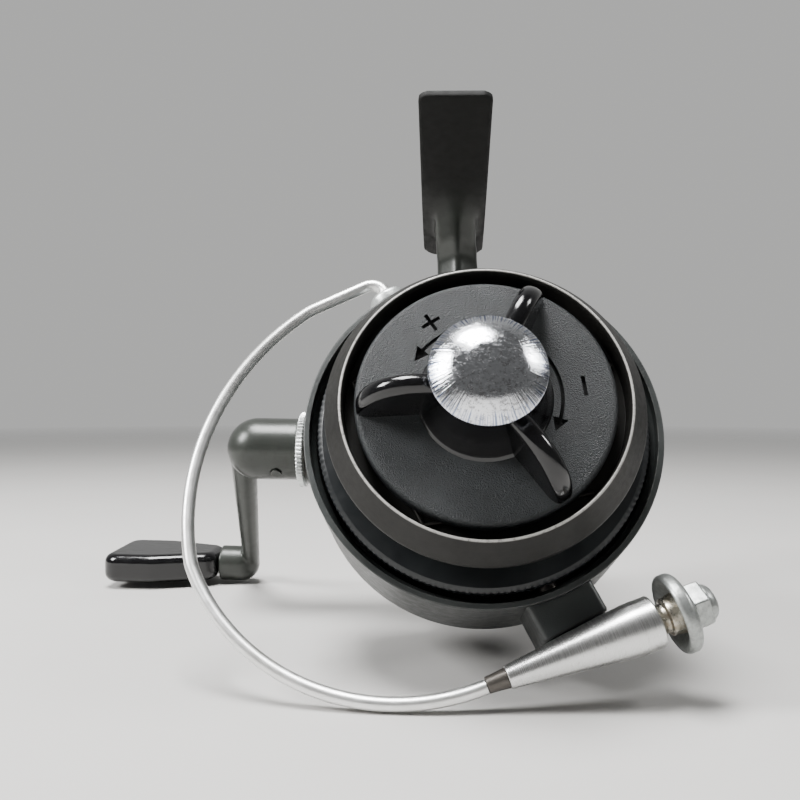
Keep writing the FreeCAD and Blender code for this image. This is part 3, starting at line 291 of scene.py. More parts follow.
def knob_grain():
    """Satin black plastic with fine leathery grain, near black and rough inside the knob's sunk
    marks.
    """
    finish = Finish("knob_black", Specular_IOR_Level=0.4)
    dust = finish.spread(finish.noise(0.2, 5.0, 0.7), 0.4, 0.8)
    base = finish.tint(dust, (0.012, 0.014, 0.015), (0.022, 0.025, 0.027))
    radius = finish.around_axis(REEL)[0]
    split = finish.tree.nodes.new("ShaderNodeSeparateXYZ")
    finish.put(split.inputs[0], finish.place)
    sunk = finish.sum("SUBTRACT", split.outputs["Y"], REEL.y / MM + DISC_FRONT)
    # near black and rougher inside the sunk marks
    in_marks = finish.spread(sunk, 0.10, 0.18)
    dark_in_marks = finish.sum("MULTIPLY", in_marks, finish.spread(radius, 19.3, 19.0))
    finish.colour(finish.tint(dark_in_marks, base, (0.003, 0.003, 0.003)))
    sheen = finish.spread(finish.noise(0.8, 3.0, 0.6), 0.3, 0.7, 0.36, 0.46)
    finish.roughness(finish.sum("MAXIMUM", sheen, dark_in_marks))
    finish.bumps((finish.noise(3.6, 3.0, 0.7), 0.16), (finish.cells(4.8), 0.07))
    return finish.material


def polished_black(name="knob_gloss", scratches=0.006):
    """Glossy black plastic, a little scuffed."""
    finish = Finish(name, Specular_IOR_Level=0.5, Coat_Weight=0.15, Coat_Roughness=0.05)
    haze = finish.spread(finish.noise(0.3, 4.0, 0.6), 0.45, 0.8)
    finish.colour(finish.tint(haze, (0.003, 0.003, 0.0035), (0.007, 0.007, 0.0075)))
    finish.roughness(finish.spread(finish.noise(0.7, 5.0, 0.65), 0.35, 0.75, 0.10, 0.22))
    finish.bumps((finish.noise(0.5, 2.0, 0.5), 0.04),
                 (finish.noise(2.0, 3.0, 0.6, stretch=(8, 1, 1)), scratches))
    return finish.material


def chrome():
    """Bright chrome with age freckles, fine scratches, and fans of radial marks near the rim."""
    finish = Finish("chrome", Metallic=1.0)
    radius, angle = finish.around_axis(REEL)
    fan = finish.tree.nodes.new("ShaderNodeTexNoise")
    fan.noise_dimensions = "1D"
    fan.inputs["Scale"].default_value = 26.0
    fan.inputs["Detail"].default_value = 4.0
    finish.put(fan.inputs["W"], angle)
    near_rim = finish.spread(radius, 4.6, 8.0)
    spokes = finish.sum("MULTIPLY", fan.outputs["Fac"], near_rim)
    freckles = finish.spread(finish.noise(1.6, 6.0, 0.75), 0.50, 0.62)
    scuffs = finish.spread(finish.noise(0.9, 6.0, 0.8, stretch=(1, 1, 2.2), warp=0.8), 0.48, 0.60)
    stain = finish.tint(freckles, (0.86, 0.88, 0.92), (0.34, 0.34, 0.35))
    finish.colour(finish.tint(finish.spread(spokes, 0.46, 0.62), stain, (0.24, 0.28, 0.40)))
    finish.roughness(finish.spread(finish.sum("ADD", freckles, scuffs), 0.0, 1.6, 0.07, 0.30))
    finish.bumps((spokes, 0.05), (finish.noise(2.4, 5.0, 0.7), 0.020))
    return finish.material


def brushed(name, light, dark, rough, grain_along, metallic=1.0):
    """Brushed bare metal: streaks along the axis given, and soft tarnish."""
    finish = Finish(name, Metallic=metallic)
    stretch = tuple(0.06 if axis == grain_along else 1.6 for axis in "XYZ")
    streaks = finish.noise(3.0, 4.0, 0.6, stretch=stretch)
    tarnish = finish.spread(finish.noise(0.25, 5.0, 0.65), 0.45, 0.75)
    finish.colour(finish.tint(tarnish, light, dark))
    finish.roughness(finish.spread(streaks, 0.3, 0.7, rough - 0.03, rough + 0.05))
    finish.bumps((streaks, 0.0015), (finish.noise(0.4, 2.0, 0.5), 0.03))
    return finish.material


def drawn_wire():
    """Satin aluminium wire, smooth but for soft dents, with duller handled stretches."""
    finish = Finish("aluminium", Metallic=1.0)
    dull = finish.spread(finish.noise(0.2, 4.0, 0.6), 0.40, 0.70)
    finish.colour(finish.tint(dull, (0.90, 0.90, 0.89), (0.76, 0.76, 0.74)))
    finish.roughness(finish.spread(finish.noise(0.8, 3.0, 0.6), 0.3, 0.7, 0.34, 0.42))
    finish.bumps((finish.noise(0.35, 1.0, 0.4), 0.012), (finish.noise(1.2, 1.0, 0.4), 0.001))
    return finish.material


def turned_aluminium():
    """Bright satin aluminium turned on a lathe: fine rings along the cone and hairline pits."""
    finish = Finish("cone_aluminium", Metallic=1.0)
    way = CONE_TURN @ Vector((0, 1, 0))
    along = finish.tree.nodes.new("ShaderNodeVectorMath")
    along.operation = "DOT_PRODUCT"
    finish.put(along.inputs[0], finish.place)
    along.inputs[1].default_value = way
    rings = finish.tree.nodes.new("ShaderNodeTexNoise")
    rings.noise_dimensions = "1D"
    rings.inputs["Scale"].default_value = 14.0
    rings.inputs["Detail"].default_value = 4.0
    rings.inputs["Roughness"].default_value = 0.65
    finish.put(rings.inputs["W"], along.outputs["Value"])
    pits = finish.spread(finish.noise(1.6, 4.0, 0.7), 0.62, 0.74)
    finish.colour(finish.tint(pits, (0.72, 0.72, 0.71), (0.42, 0.41, 0.39)))
    finish.roughness(finish.spread(rings.outputs["Fac"], 0.3, 0.7, 0.24, 0.34))
    finish.bumps((rings.outputs["Fac"], 0.006), (finish.noise(2.2, 3.0, 0.6), 0.004))
    return finish.material


def tarnished_nickel():
    """Warm worn nickel over brass, darker and browner in patches."""
    finish = Finish("nickel", Metallic=1.0)
    brown = finish.spread(finish.noise(0.7, 5.0, 0.7), 0.38, 0.66)
    finish.colour(finish.tint(brown, (0.62, 0.59, 0.52), (0.30, 0.25, 0.18)))
    finish.roughness(finish.spread(brown, 0.0, 1.0, 0.22, 0.42))
    finish.bumps((finish.noise(2.0, 4.0, 0.6), 0.02))
    return finish.material


def zinc_plate(name="zinc", light=(0.74, 0.77, 0.76), dark=(0.50, 0.52, 0.51)):
    """Mottled zinc plate, pale where it is clean."""
    finish = Finish(name, Metallic=0.85)
    mottle = finish.spread(finish.noise(1.1, 5.0, 0.7), 0.35, 0.7)
    finish.colour(finish.tint(mottle, light, dark))
    finish.roughness(finish.spread(mottle, 0.0, 1.0, 0.30, 0.46))
    finish.bumps((finish.noise(1.8, 4.0, 0.65), 0.03))
    return finish.material


def pressed_fibre():
    """Oiled brown fibre washer."""
    finish = Finish("fibre", Specular_IOR_Level=0.3)
    finish.colour(finish.tint(finish.spread(finish.noise(2.0, 4.0, 0.7), 0.35, 0.7),
                              (0.16, 0.10, 0.06), (0.28, 0.19, 0.12)))
    finish.roughness(finish.spread(finish.noise(1.0, 2.0, 0.5), 0.3, 0.7, 0.6, 0.8))
    finish.bumps((finish.noise(4.0, 3.0, 0.6), 0.04))
    return finish.material


FINISHES = {
    "case_paint": cast_paint(),
    "rotor_paint": rotor_paint(),
    "spool_black": spool_black(),
    "lip_metal": lip_metal(),
    "knob_black": knob_grain(),
    "chrome": chrome(),
    "aluminium": drawn_wire(),
    "steel": brushed("steel", (0.56, 0.56, 0.55), (0.38, 0.37, 0.35), 0.30, "Y"),
    "dark_steel": brushed("dark_steel", (0.11, 0.10, 0.09), (0.05, 0.046, 0.04), 0.40, "X", 0.8),
    "zinc": zinc_plate(),
    "nickel": tarnished_nickel(),
    "bronze": brushed("bronze", (0.50, 0.33, 0.16), (0.30, 0.19, 0.09), 0.42, "X"),
    "paddle_black": polished_black("paddle_black", 0.01),
    "fibre": pressed_fibre(),
    "spring_steel": brushed("spring_steel", (0.10, 0.095, 0.09), (0.05, 0.046, 0.04), 0.40, "Y"),
}
GLOSS = polished_black()
CONE_FINISH = turned_aluminium()
NUT_FINISH = zinc_plate("nut_zinc", (0.42, 0.44, 0.43), (0.26, 0.27, 0.26))

for entry in frame["record"]["subparts"]:
    mesh = frame["nodes"][entry["node"]].data
    mesh.materials.clear()
    mesh.materials.append(FINISHES[entry["material_slot"]])


# ---------------------------------------------------------------- building pieces
def add_piece(name, mesh, body, slot, replaced=(), finish=None, smooth=35):
    """Put a mesh in the scene, riding on a body, with its finish and the nodes it stands for."""
    piece = bpy.data.objects.new(name, mesh)
    bpy.context.scene.collection.objects.link(piece)
    mesh.materials.clear()
    mesh.materials.append(finish or FINISHES[slot])
    mesh.polygons.foreach_set("use_smooth", [True] * len(mesh.polygons))
    mesh.set_sharp_from_angle(angle=math.radians(smooth))
    weighted = piece.modifiers.new("Even normals", "WEIGHTED_NORMAL")
    weighted.keep_sharp = True
    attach(piece, body)
    if replaced:
        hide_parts(*replaced)
    return piece


def mesh_from(name, vertices, faces):
    """A clean mesh with outward normals, from places in the row frame."""
    work = bmesh.new()
    made = [work.verts.new(vertex) for vertex in vertices]
    for face in faces:
        work.faces.new([made[index] for index in face])
    bmesh.ops.remove_doubles(work, verts=work.verts, dist=0.5e-6)
    bmesh.ops.recalc_face_normals(work, faces=work.faces)
    mesh = bpy.data.meshes.new(name)
    work.to_mesh(mesh)
    work.free()
    return mesh


def round_corners(outline, steps=4):
    """The points of a closed outline, with corners given as (x, y, rounding) made short curves."""
    points = []
    count = len(outline)
    for index, corner in enumerate(outline):
        here = Vector(corner[:2])
        rounding = corner[2] if len(corner) > 2 else 0.0
        if rounding == 0.0:
            points.append(here)
            continue
        before = Vector(outline[index - 1][:2]) - here
        after = Vector(outline[(index + 1) % count][:2]) - here
        start = here + before.normalized() * min(rounding, before.length * 0.49)
        end = here + after.normalized() * min(rounding, after.length * 0.49)
        for step in range(steps + 1):
            share = step / steps
            points.append(start * (1 - share) ** 2 + here * 2 * share * (1 - share)
                          + end * share ** 2)
    return points


def lathe_mesh(name, outline, offset=(0, 0, 0), turn=UPRIGHT, steps=144, ripple=None):
    """Turn a closed (radius, station, rounding) outline about local Y."""
    points = round_corners(outline)
    vertices = []
    for index in range(steps):
        angle = 2 * math.pi * index / steps
        for radius, station in points:
            if ripple:
                radius = ripple(radius, station, angle)
            local = Vector((radius * math.cos(angle), station, radius * math.sin(angle)))
            vertices.append(point(Vector(offset) + turn @ local))
    faces = []
    ring = len(points)
    for index in range(steps):
        for side in range(ring):
            after = (index + 1) % steps
            beside = (side + 1) % ring
            corners = [index * ring + side, index * ring + beside,
                       after * ring + beside, after * ring + side]
            flat = points[side].x < 1e-6 and points[beside].x < 1e-6
            if not flat:
                faces.append(corners)
    return mesh_from(name, vertices, faces)


def lathe(name, outline, body, slot, replaced=(), offset=(0, 0, 0), turn=UPRIGHT, **options):
    """A turned piece in the scene; its options are finish, smooth and those of lathe_mesh."""
    finish = options.pop("finish", None)
    smooth = options.pop("smooth", 35)
    mesh = lathe_mesh(name, outline, offset, turn, **options)
    return add_piece(name, mesh, body, slot, replaced, finish, smooth)


def loft_mesh(name, sections):
    """A skin over rings of places with equal counts, closed at both ends."""
    ring = len(sections[0])
    vertices = [place for section in sections for place in section]
    faces = []
    for index in range(len(sections) - 1):
        for side in range(ring):
            beside = (side + 1) % ring
            faces.append([index * ring + side, index * ring + beside,
                          (index + 1) * ring + beside, (index + 1) * ring + side])
    faces.append(list(range(ring)))
    faces.append([(len(sections) - 1) * ring + side for side in range(ring)])
    return mesh_from(name, vertices, faces)


def tube_mesh(name, path, radius, around=24):
    """A round bar along a path of places in millimetres about the reel point."""
    sections = []
    side = Vector((0, 1, 0))
    for index, place in enumerate(path):
        before = path[max(index - 1, 0)]
        after = path[min(index + 1, len(path) - 1)]
        way = (after - before).normalized()
        side = (side - way * side.dot(way)).normalized()
        other = way.cross(side)
        angles = [2 * math.pi * step / around for step in range(around)]
        ring = [point(place + side * math.cos(angle) * radius + other * math.sin(angle) * radius)
                for angle in angles]
        sections.append(ring)
    return loft_mesh(name, sections)


def new_vertices(extruded):
    """The vertices among the items that an extrusion made."""
    return [item for item in extruded["geom"] if isinstance(item, bmesh.types.BMVert)]


def plate_mesh(name, outline, thickness, offset, turn, bevel=0.2):
    """A flat plate in local XY from 0 to its thickness along local Z, with bevelled edges."""
    points = round_corners(outline, steps=6)
    work = bmesh.new()
    low = [work.verts.new(point(Vector(offset) + turn @ Vector((p.x, p.y, 0)))) for p in points]
    face = work.faces.new(low)
    risen = bmesh.ops.extrude_face_region(work, geom=[face])
    shift = turn @ Vector((0, 0, thickness)) * MM
    bmesh.ops.translate(work, vec=shift, verts=new_vertices(risen))
    bmesh.ops.recalc_face_normals(work, faces=work.faces)
    through = turn @ Vector((0, 0, 1))
    rims = [edge for edge in work.edges if edge.calc_face_angle(0) > math.radians(60)
            and abs((edge.verts[0].co - edge.verts[1].co).normalized().dot(through)) < 0.5]
    bmesh.ops.bevel(work, geom=rims, offset=bevel * MM, segments=3, profile=0.5, affect="EDGES")
    mesh = bpy.data.meshes.new(name)
    work.to_mesh(mesh)
    work.free()
    return mesh


def cast_mesh(node, voxel, smoothing):
    """A CAD node's shape as one skin with the softly rounded edges of a casting or moulding."""
    source = bpy.data.objects.new("source", frame["nodes"][node].data.copy())
    bpy.context.scene.collection.objects.link(source)
    remesh = source.modifiers.new("Skin", "REMESH")
    remesh.mode = "VOXEL"
    remesh.voxel_size = voxel * MM
    soften = source.modifiers.new("Soften", "SMOOTH")
    soften.factor = 0.5
    soften.iterations = smoothing
    graph = bpy.context.evaluated_depsgraph_get()
    mesh = bpy.data.meshes.new_from_object(source.evaluated_get(graph))
    bpy.data.objects.remove(source)
    return mesh


def ease(mesh, low, high, times):
    """Soften a casting further between two heights, so that its facets run into each other."""
    work = bmesh.new()
    work.from_mesh(mesh)
    chosen = [vertex for vertex in work.verts if low * MM < vertex.co.z < high * MM]
    for _ in range(times):
        bmesh.ops.smooth_vert(work, verts=chosen, factor=0.5,
                              use_axis_x=True, use_axis_y=True, use_axis_z=True)
    work.to_mesh(mesh)
    work.free()


def cast_piece(name, node, body, slot, voxel, smoothing):
    """A cast or moulded piece in the scene, in place of its CAD node."""
    return add_piece(name, cast_mesh(node, voxel, smoothing), body, slot, (node,), smooth=60)


# ---------------------------------------------------------------- rotor
RIM, RIM_WALL, CUP_BACK = 31.0, 1.1, 24.4


def make_rotor():
    """The cup with its thin rim, the ear that carries the bail's arm, and the far pivot's pad."""
    lathe("rotor_cup", [
        (RIM - RIM_WALL, 0.02, 0.15), (RIM - 0.02, 0.02, 0.28), (RIM - 0.02, CUP_BACK - 2.2, 1.6),
        (RIM - 2.2, CUP_BACK - 0.02, 1.6), (4.05, CUP_BACK - 0.02, 0.2), (4.05, 13.8, 0.2),
        (8.0, 13.8, 0.5), (8.0, CUP_BACK - 2.4, 0.8), (RIM - 3.6, CUP_BACK - 2.4, 0.8),
        (RIM - 2, CUP_BACK - 4, 0.8),
        (RIM - 2, 3, 0.3), (RIM - RIM_WALL, 2, 0.3)],
        "rotor", "rotor_paint", ("rotor",), steps=192)
    ear = [(-7.85, 0.85, 1.2), (3.75, 0.85, 1.2), (3.75, 15.75, 2.2), (-7.85, 15.75, 2.2)]
    mesh = plate_mesh("rotor_ear", ear, 36.1 - 29.45, BAIL @ Vector((0, 0, -36.1)), BAIL, 0.5)
    add_piece("rotor_ear", mesh, "rotor", "rotor_paint")
    far = BAIL @ Vector((PIVOT_SIDE, PIVOT_BACK, 29.35))
    lathe("rotor_far_pad", [(1.75, 0, 0), (4.55, 0, 0), (4.55, 2.35, 0.3), (1.75, 2.35, 0.1)],
          "rotor", "rotor_paint", offset=far, turn=INWARD, steps=48)


# ---------------------------------------------------------------- spool
def make_spool():
    """The drum with its toothed rear flange, and the pewter lip round the drag knob's recess."""
    def teeth(radius, station, angle):
        if radius < 28.2:
            return radius
        return radius - 0.14 * (0.5 - 0.5 * math.cos(angle * 160))
    lathe("spool_drum_black", [
        (14.0, -7.4, 0.1), (14.0, -0.6, 0.5), (27.6, -0.6, 0.1), (28.55, 0.0, 0.3),
        (28.55, 1.38, 0.2),
        (11.0, 1.38, 0.2), (11.0, 3.0, 0.2), (7.0, 4.35, 0.2), (2.6, 4.35, 0.1), (2.6, -3.0, 0.1),
        (12.3, -3.0, 0.1), (12.3, -7.4, 0.05)], "spool", "spool_black", ("spool_drum",), steps=960,
        ripple=teeth)
    lathe("spool_lip_pewter", [
        (12.35, -7.42, 0.05), (24.5, -7.42, 0.3), (26.15, -8.5, 0.4), (26.15, -9.4, 0.35),
        (23.28, -13.88, 0.16), (22.98, -13.88, 0.12), (22.75, -13.1, 0.2), (22.75, -9.25, 0.2),
        (12.35, -9.25, 0.1)], "spool", "lip_metal", ("spool_lip",), steps=256, smooth=28)


# ---------------------------------------------------------------- drag knob and release button
def symbol_outlines():
    """Plain marks for the knob's face: curved arrows each way, a plus and a minus."""
    marks = []

    def around(radius, degrees):
        angle = math.radians(degrees)
        return Vector((radius * math.cos(angle), radius * math.sin(angle)))

    def arrow(start, end, radius):
        """A thin curved shaft from one angle to another, and a broad head past its end."""
        steps, half, head_half, head_degrees = 18, 0.3, 1.25, 11
        way = 1 if end > start else -1
        stations = [start + (end - start) * step / steps for step in range(steps + 1)]
        outer = [around(radius + half, station) for station in stations]
        inner = [around(radius - half, station) for station in stations]
        head = [around(radius + head_half, end), around(radius, end + way * head_degrees),
                around(radius - head_half, end)]
        return outer + head + inner[::-1]

    def bar(centre, along, length, width):
        across = Vector((-along.y, along.x))
        return [centre + along * length * u + across * width * v
                for u, v in ((-0.5, -0.5), (0.5, -0.5), (0.5, 0.5), (-0.5, 0.5))]

    bar_length, bar_width = 3.4, 0.65
    marks.append(arrow(107, 141, 12.9))
    marks.append(arrow(38, -16, 12.2))
    for radius, degrees, is_plus in ((15.9, 124, True), (15.8, 8, False)):
        centre = around(radius, degrees)
        along = around(1, degrees + 90)
        marks.append(bar(centre, along, bar_length, bar_width))
        if is_plus:
            marks.append(bar(centre, Vector((-along.y, along.x)), bar_length, bar_width))
    return marks


def make_knob_face():
    """The grained disc, with the marks cut into its face."""
    radius, disc_back, mark_depth, steps = 20.9, -10.25, 0.7, 128
    angles = [2 * math.pi * step / steps for step in range(steps)]
    rim = [Vector((radius * math.cos(angle), radius * math.sin(angle))) for angle in angles]
    work = bmesh.new()

    def solid(outline, front, back):
        verts = [work.verts.new(point((p.x, front, p.y))) for p in outline]
        face = work.faces.new(verts)
        risen = bmesh.ops.extrude_face_region(work, geom=[face])
        bmesh.ops.translate(work, vec=Vector((0, (back - front) * MM, 0)), verts=new_vertices(risen))

    solid(rim, DISC_FRONT, disc_back)
    bmesh.ops.recalc_face_normals(work, faces=work.faces)
    rims = [edge for edge in work.edges if edge.calc_face_angle(0) > math.radians(60)]
    bmesh.ops.bevel(work, geom=rims, offset=0.9 * MM, segments=4, profile=0.5, affect="EDGES")
    mesh = bpy.data.meshes.new("knob_disc")
    work.to_mesh(mesh)
    work.free()
    disc = bpy.data.objects.new("knob_disc_work", mesh)
    bpy.context.scene.collection.objects.link(disc)
    work = bmesh.new()
    for outline in symbol_outlines():
        solid(outline, DISC_FRONT - 1.0, DISC_FRONT + mark_depth)
    bmesh.ops.recalc_face_normals(work, faces=work.faces)
    cutter_mesh = bpy.data.meshes.new("marks")
    work.to_mesh(cutter_mesh)
    work.free()
    cutter = bpy.data.objects.new("marks", cutter_mesh)
    bpy.context.scene.collection.objects.link(cutter)
    cut = disc.modifiers.new("Engrave", "BOOLEAN")
    cut.object = cutter
    cut.operation = "DIFFERENCE"
    cut.solver = "EXACT"
    cut.use_self = True
    graph = bpy.context.evaluated_depsgraph_get()
    engraved = bpy.data.meshes.new_from_object(disc.evaluated_get(graph))
    bpy.data.objects.remove(disc)
    bpy.data.objects.remove(cutter)
    add_piece("knob_disc", engraved, "drag_knob", "knob_black", ("drag_knob",), smooth=30)


def wing_mesh(name, degrees):
    """A tall fin from the hub to the disc's edge, with a rounded back and a rounded tip."""
    turn = Matrix.Rotation(math.radians(-degrees), 3, "Y")
    start, end = 6.4, 20.55
    stations = 44
    sections = []
    for index in range(stations):
        share = index / (stations - 1)
        radial = start + (end - start) * math.sin(share * math.pi / 2)
        run = (radial - start) / (end - start)
        rise = 7.75 + 0.95 * math.sin(min(run / 0.42, 1.0) * math.pi / 2)
        height = 0.25 + (rise - 0.25) * (1 - max(0.0, (run - 0.36) / 0.64) ** 2.3) ** 0.62
        tip = math.sqrt(max(1e-4, 1 - max(0.0, (run - 0.82) / 0.18) ** 2))
        half_top = min(1.75 * (0.4 + 0.6 * tip), max(height, 0.3))
        half_foot = (1.88 + 0.6 * (1 - run) ** 2) * (0.4 + 0.6 * tip)
        ring = []
        for step in range(17):
            angle = math.pi * step / 16
            lift = math.sin(angle) * half_top
            ring.append((math.cos(angle) * half_top, height - half_top + lift))
        half_low = half_top * 1.02 + (half_foot - half_top) * 0.3
        ring += [(-half_low, height * 0.35), (-half_foot, -0.3),
                 (half_foot, -0.3), (half_low, height * 0.35)]
        sections.append([point(turn @ Vector((radial, DISC_FRONT - lift, across)))
                         for across, lift in ring])
    return loft_mesh(name, sections)


def make_drag_knob():
    """Grained disc, glossy hub and three glossy fins."""
    make_knob_face()
    lathe("knob_hub", [(5.7, -21.78, 0.1), (7.6, -21.78, 0.5), (8.6, -17.5, 1.0),
                       (10.4, -13.9, 0.6), (10.9, -13.55, 0.1), (10.9, -13.2, 0.1), (5.7, -13.2, 0)],
          "drag_knob", "knob_black", finish=GLOSS, steps=96)
    for index, degrees in enumerate((66, 186, 306)):
        add_piece(f"knob_fin_{index + 1}", wing_mesh(f"knob_fin_{index + 1}", degrees), "drag_knob",
                  "knob_black", finish=GLOSS, smooth=50)


def make_button():
    """The chromed dome with a rolled rim, on its stem."""
    dome = [(0.0, -27.38), (2.8, -27.2, 0.5), (5.4, -26.5, 0.9), (7.6, -25.2, 0.8),
            (8.95, -24.2, 0.35), (8.95, -23.7, 0.2), (8.6, -23.32, 0.15), (5.5, -23.32, 0.1),
            (5.5, -17.22, 0.1), (3.65, -17.22, 0.1), (3.65, -22.2, 0.1), (0.0, -22.2)]
    lathe("button_dome", dome, "release_button", "chrome", ("release_button",), steps=160)


def make_button_coil():
    """The button's return spring as a coil."""
    radius, wire, turns, length, pieces = 3.18, 0.2, 6, 6.1, 16
    back = (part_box("button_spring")[1].y - REEL.y) / MM - wire
    path = []
    for step in range(turns * pieces + 1):
        angle = 2 * math.pi * step / pieces
        station = back - length * step / (turns * pieces)
        path.append(Vector((radius * math.cos(angle), station, radius * math.sin(angle))))
    mesh = tube_mesh("button_coil", path, wire, 10)
    coil = add_piece("button_coil", mesh, "drag_knob", "spring_steel", ("button_spring",))
    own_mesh(coil)


# ---------------------------------------------------------------- line guide and bail
def make_line_guide():
    """Ferrule, cone, stud, roller, dished ring and domed nut, in a row on the cone's axis."""
    row = {"offset": CONE_START, "turn": CONE_TURN}
    lathe("guide_ferrule", [(0, -0.02), (1.58, -0.02, 0.1), (1.36, -2.0, 0.5), (1.28, -3.28, 0.12),
                            (0, -3.28)], "bail", "dark_steel", ("bail_ferrule",), steps=48, **row)
    lathe("guide_cone", [(0, 0.02), (1.78, 0.02, 0.15), (4.08, 20.3, 1.2), (4.08, CONE_LENGTH, 0.28),
                         (2.6, CONE_LENGTH, 0.1), (1.25, CONE_LENGTH - 0.3, 0.05),
                         (1.25, 16.3, 0.05), (0, 16.3)],
          "bail", "aluminium", ("line_cone",), finish=CONE_FINISH, steps=128, **row)
    begin = CONE_LENGTH + 0.15
    lathe("guide_roller", [(1.26, begin, 0.05), (2.5, begin, 0.15), (2.25, begin + 0.8, 0.2),
                           (2.25, begin + 1.4, 0.15), (2.9, begin + 1.6, 0.12),
                           (3.0, begin + 2.6, 0.2), (3.28, begin + 3.88, 0.12),
                           (1.26, begin + 3.88, 0.05)],
          "line_roller", "nickel", ("line_roller",), steps=96, **row)
    back = CONE_LENGTH + 4.2
    lathe("guide_ring", [(1.22, back + 0.02, 0.05), (3.4, back + 0.02, 0.3), (5.1, back - 1.45, 0.3),
                         (5.8, back - 1.78, 0.3), (6.19, back - 1.3, 0.3), (6.19, back + 0.2, 0.5),
                         (5.4, back + 0.78, 0.5), (3.8, back + 1.18, 0.3), (1.22, back + 1.18, 0.05)],
          "bail", "chrome", ("roller_flange",), finish=NUT_FINISH, steps=128, **row)
    start = back + 1.25
    across = CONE_TURN @ Matrix.Rotation(math.radians(-90), 3, "X")
    angles = [math.radians(60 * side) for side in range(6)]
    hexagon = [(3.78 * math.cos(angle), 3.78 * math.sin(angle), 0.25) for angle in angles]
    place = CONE_START + CONE_TURN @ Vector((0, start, 0))
    mesh = plate_mesh("guide_nut", hexagon, 2.58, place, across, 0.3)
    add_piece("guide_nut", mesh, "bail", "zinc", ("roller_nut",), NUT_FINISH, 30)
    lathe("guide_nut_dome", [(0, start + 2.3), (2.98, start + 2.3, 0.1), (2.98, start + 2.9, 0.3),
                             (2.5, start + 3.8, 0.6), (1.6, start + 4.24, 0.6), (0, start + 4.28)],
          "bail", "zinc", finish=NUT_FINISH, steps=96, **row)


def bow_path():
    """The bail wire's centre line: the ferrule's end, the flattened bow, the leg into the boss."""
    extent, corner, bow_mid, tilt, fore = 38.0, 10.5, 0.22, 0.105, 0.95
    flat = extent - 2.18
    shift = (extent ** 2 - 2 * extent * corner + 2 * corner * flat - flat ** 2) / (
        2 * (flat - corner) - math.sqrt(2) * (extent - corner))
    middle = flat + shift
    corner_turn = math.atan2(shift / math.sqrt(2), extent - corner + shift / math.sqrt(2))
    side_start = CONE_SIDE + 3.3
    start_turn = math.asin((side_start - 15.9) / extent)
    bends = [(extent, math.pi / 2 - start_turn), (corner, corner_turn),
             (middle, math.pi / 2 - 2 * corner_turn), (corner, corner_turn),
             (None, 10.6), (3.0, math.pi / 2), (None, 0.6)]
    drop = bow_mid + extent * math.cos(start_turn)
    origin = Vector((-side_start - 0.1, fore - tilt * drop, -drop))
    outward = Vector((0, tilt, 1)).normalized()
    away = Vector((-1, 0, 0))
    here = Vector((0, 0))
    heading = start_turn
    flat_points = [here]
    for radius, amount in bends:
        way = Vector((math.cos(heading), math.sin(heading)))
        if radius is None:
            steps = 4
            flat_points += [here + way * amount * step / steps for step in range(1, steps + 1)]
        else:
            normal = Vector((-way.y, way.x))
            centre = here + normal * radius
            steps = max(6, int(radius * amount / 0.8))
            for step in range(1, steps + 1):
                turned = Matrix.Rotation(amount * step / steps, 2)
                flat_points.append(centre + turned @ (-normal) * radius)
            heading += amount
        here = flat_points[-1]
    return [BAIL @ (origin + away * spot.x + outward * spot.y) for spot in flat_points]


def make_bail():
    """The wire, the far end's boss, and the arm with its saddle."""
    wire = tube_mesh("bail_bow", bow_path(), 1.13, 28)
    add_piece("bail_bow", wire, "bail", "aluminium", ("bail_wire",))
    lathe("bail_end_boss", [(1.75, 0.02, 0.05), (3.78, 0.02, 0.2), (3.78, 1.5, 0.3),
                            (3.0, 2.36, 0.5), (0, 2.36), (0, 1.02), (1.75, 1.02, 0.05)],
          "bail", "zinc", ("bail_end_plate",), offset=BAIL @ Vector((PIVOT_SIDE, PIVOT_BACK, 31.95)),
          turn=INWARD, steps=64)
    cast_piece("bail_arm_cast", "bail_arm", "bail", "rotor_paint", 0.25, 5)


# ---------------------------------------------------------------- crank
def make_crank():
    """The cast crank, its knurled lock ring and the glossy paddle."""
    cast_piece("crank_casting", "crank_arm", "crank", "case_paint", 0.24, 10)

    def knurl(radius, station, angle):
        if radius < 7.6:
            return radius
        return radius - 0.3 * (0.5 - 0.5 * math.cos(angle * 60))
    lathe("crank_ring", [(4.05, -38.38, 0.05), (8.1, -38.38, 0.2), (8.28, -38.1, 0.1),
                         (8.28, -37.1, 0.1), (8.1, -36.82, 0.2), (4.05, -36.82, 0.05)],
          "crank", "zinc", ("crank_lock_ring",), offset=(0, CRANK_BACK, CRANK_UP), turn=ALONG_X,
          steps=480, ripple=knurl)
    cast_piece("crank_paddle", "crank_knob", "knob", "paddle_black", 0.22, 8)


def make_body():
    """The gear case with its stem and foot, and the case's cover."""
    stem_low, stem_high, times = -42.0, -2.6, 30
    casting = cast_piece("case_and_foot", "housing", "frame", "case_paint", 0.36, 5)
    ease(casting.data, stem_low, stem_high, times)
    cast_piece("case_cover", "side_cover", "frame", "case_paint", 0.3, 4)


make_rotor()
make_spool()
make_drag_knob()
make_button()
make_button_coil()
make_line_guide()
make_bail()
make_crank()
make_body()

# ---------------------------------------------------------------- camera, floor and light
EYE = (-5.448, -139.31, -53.54)                        # the camera, about the reel point
LEVEL = (Matrix.Rotation(math.radians(-2.97), 3, "Z")
         @ Matrix.Rotation(math.radians(-22.83), 3, "X")
         @ Matrix.Rotation(math.radians(1.0), 3, "Y"))
ROOM = LEVEL.transposed()                              # from the room's directions to the row frame's
RIGHT, FORWARD, UP = (ROOM @ Vector(way) for way in ((1, 0, 0), (0, 1, 0), (0, 0, 1)))


def turned_to(forward, up):
    """The rotation of a camera or lamp that looks along forward."""
    back = -forward.normalized()
    side = up.cross(back).normalized()
    return Matrix((side, back.cross(side), back)).transposed().to_4x4()


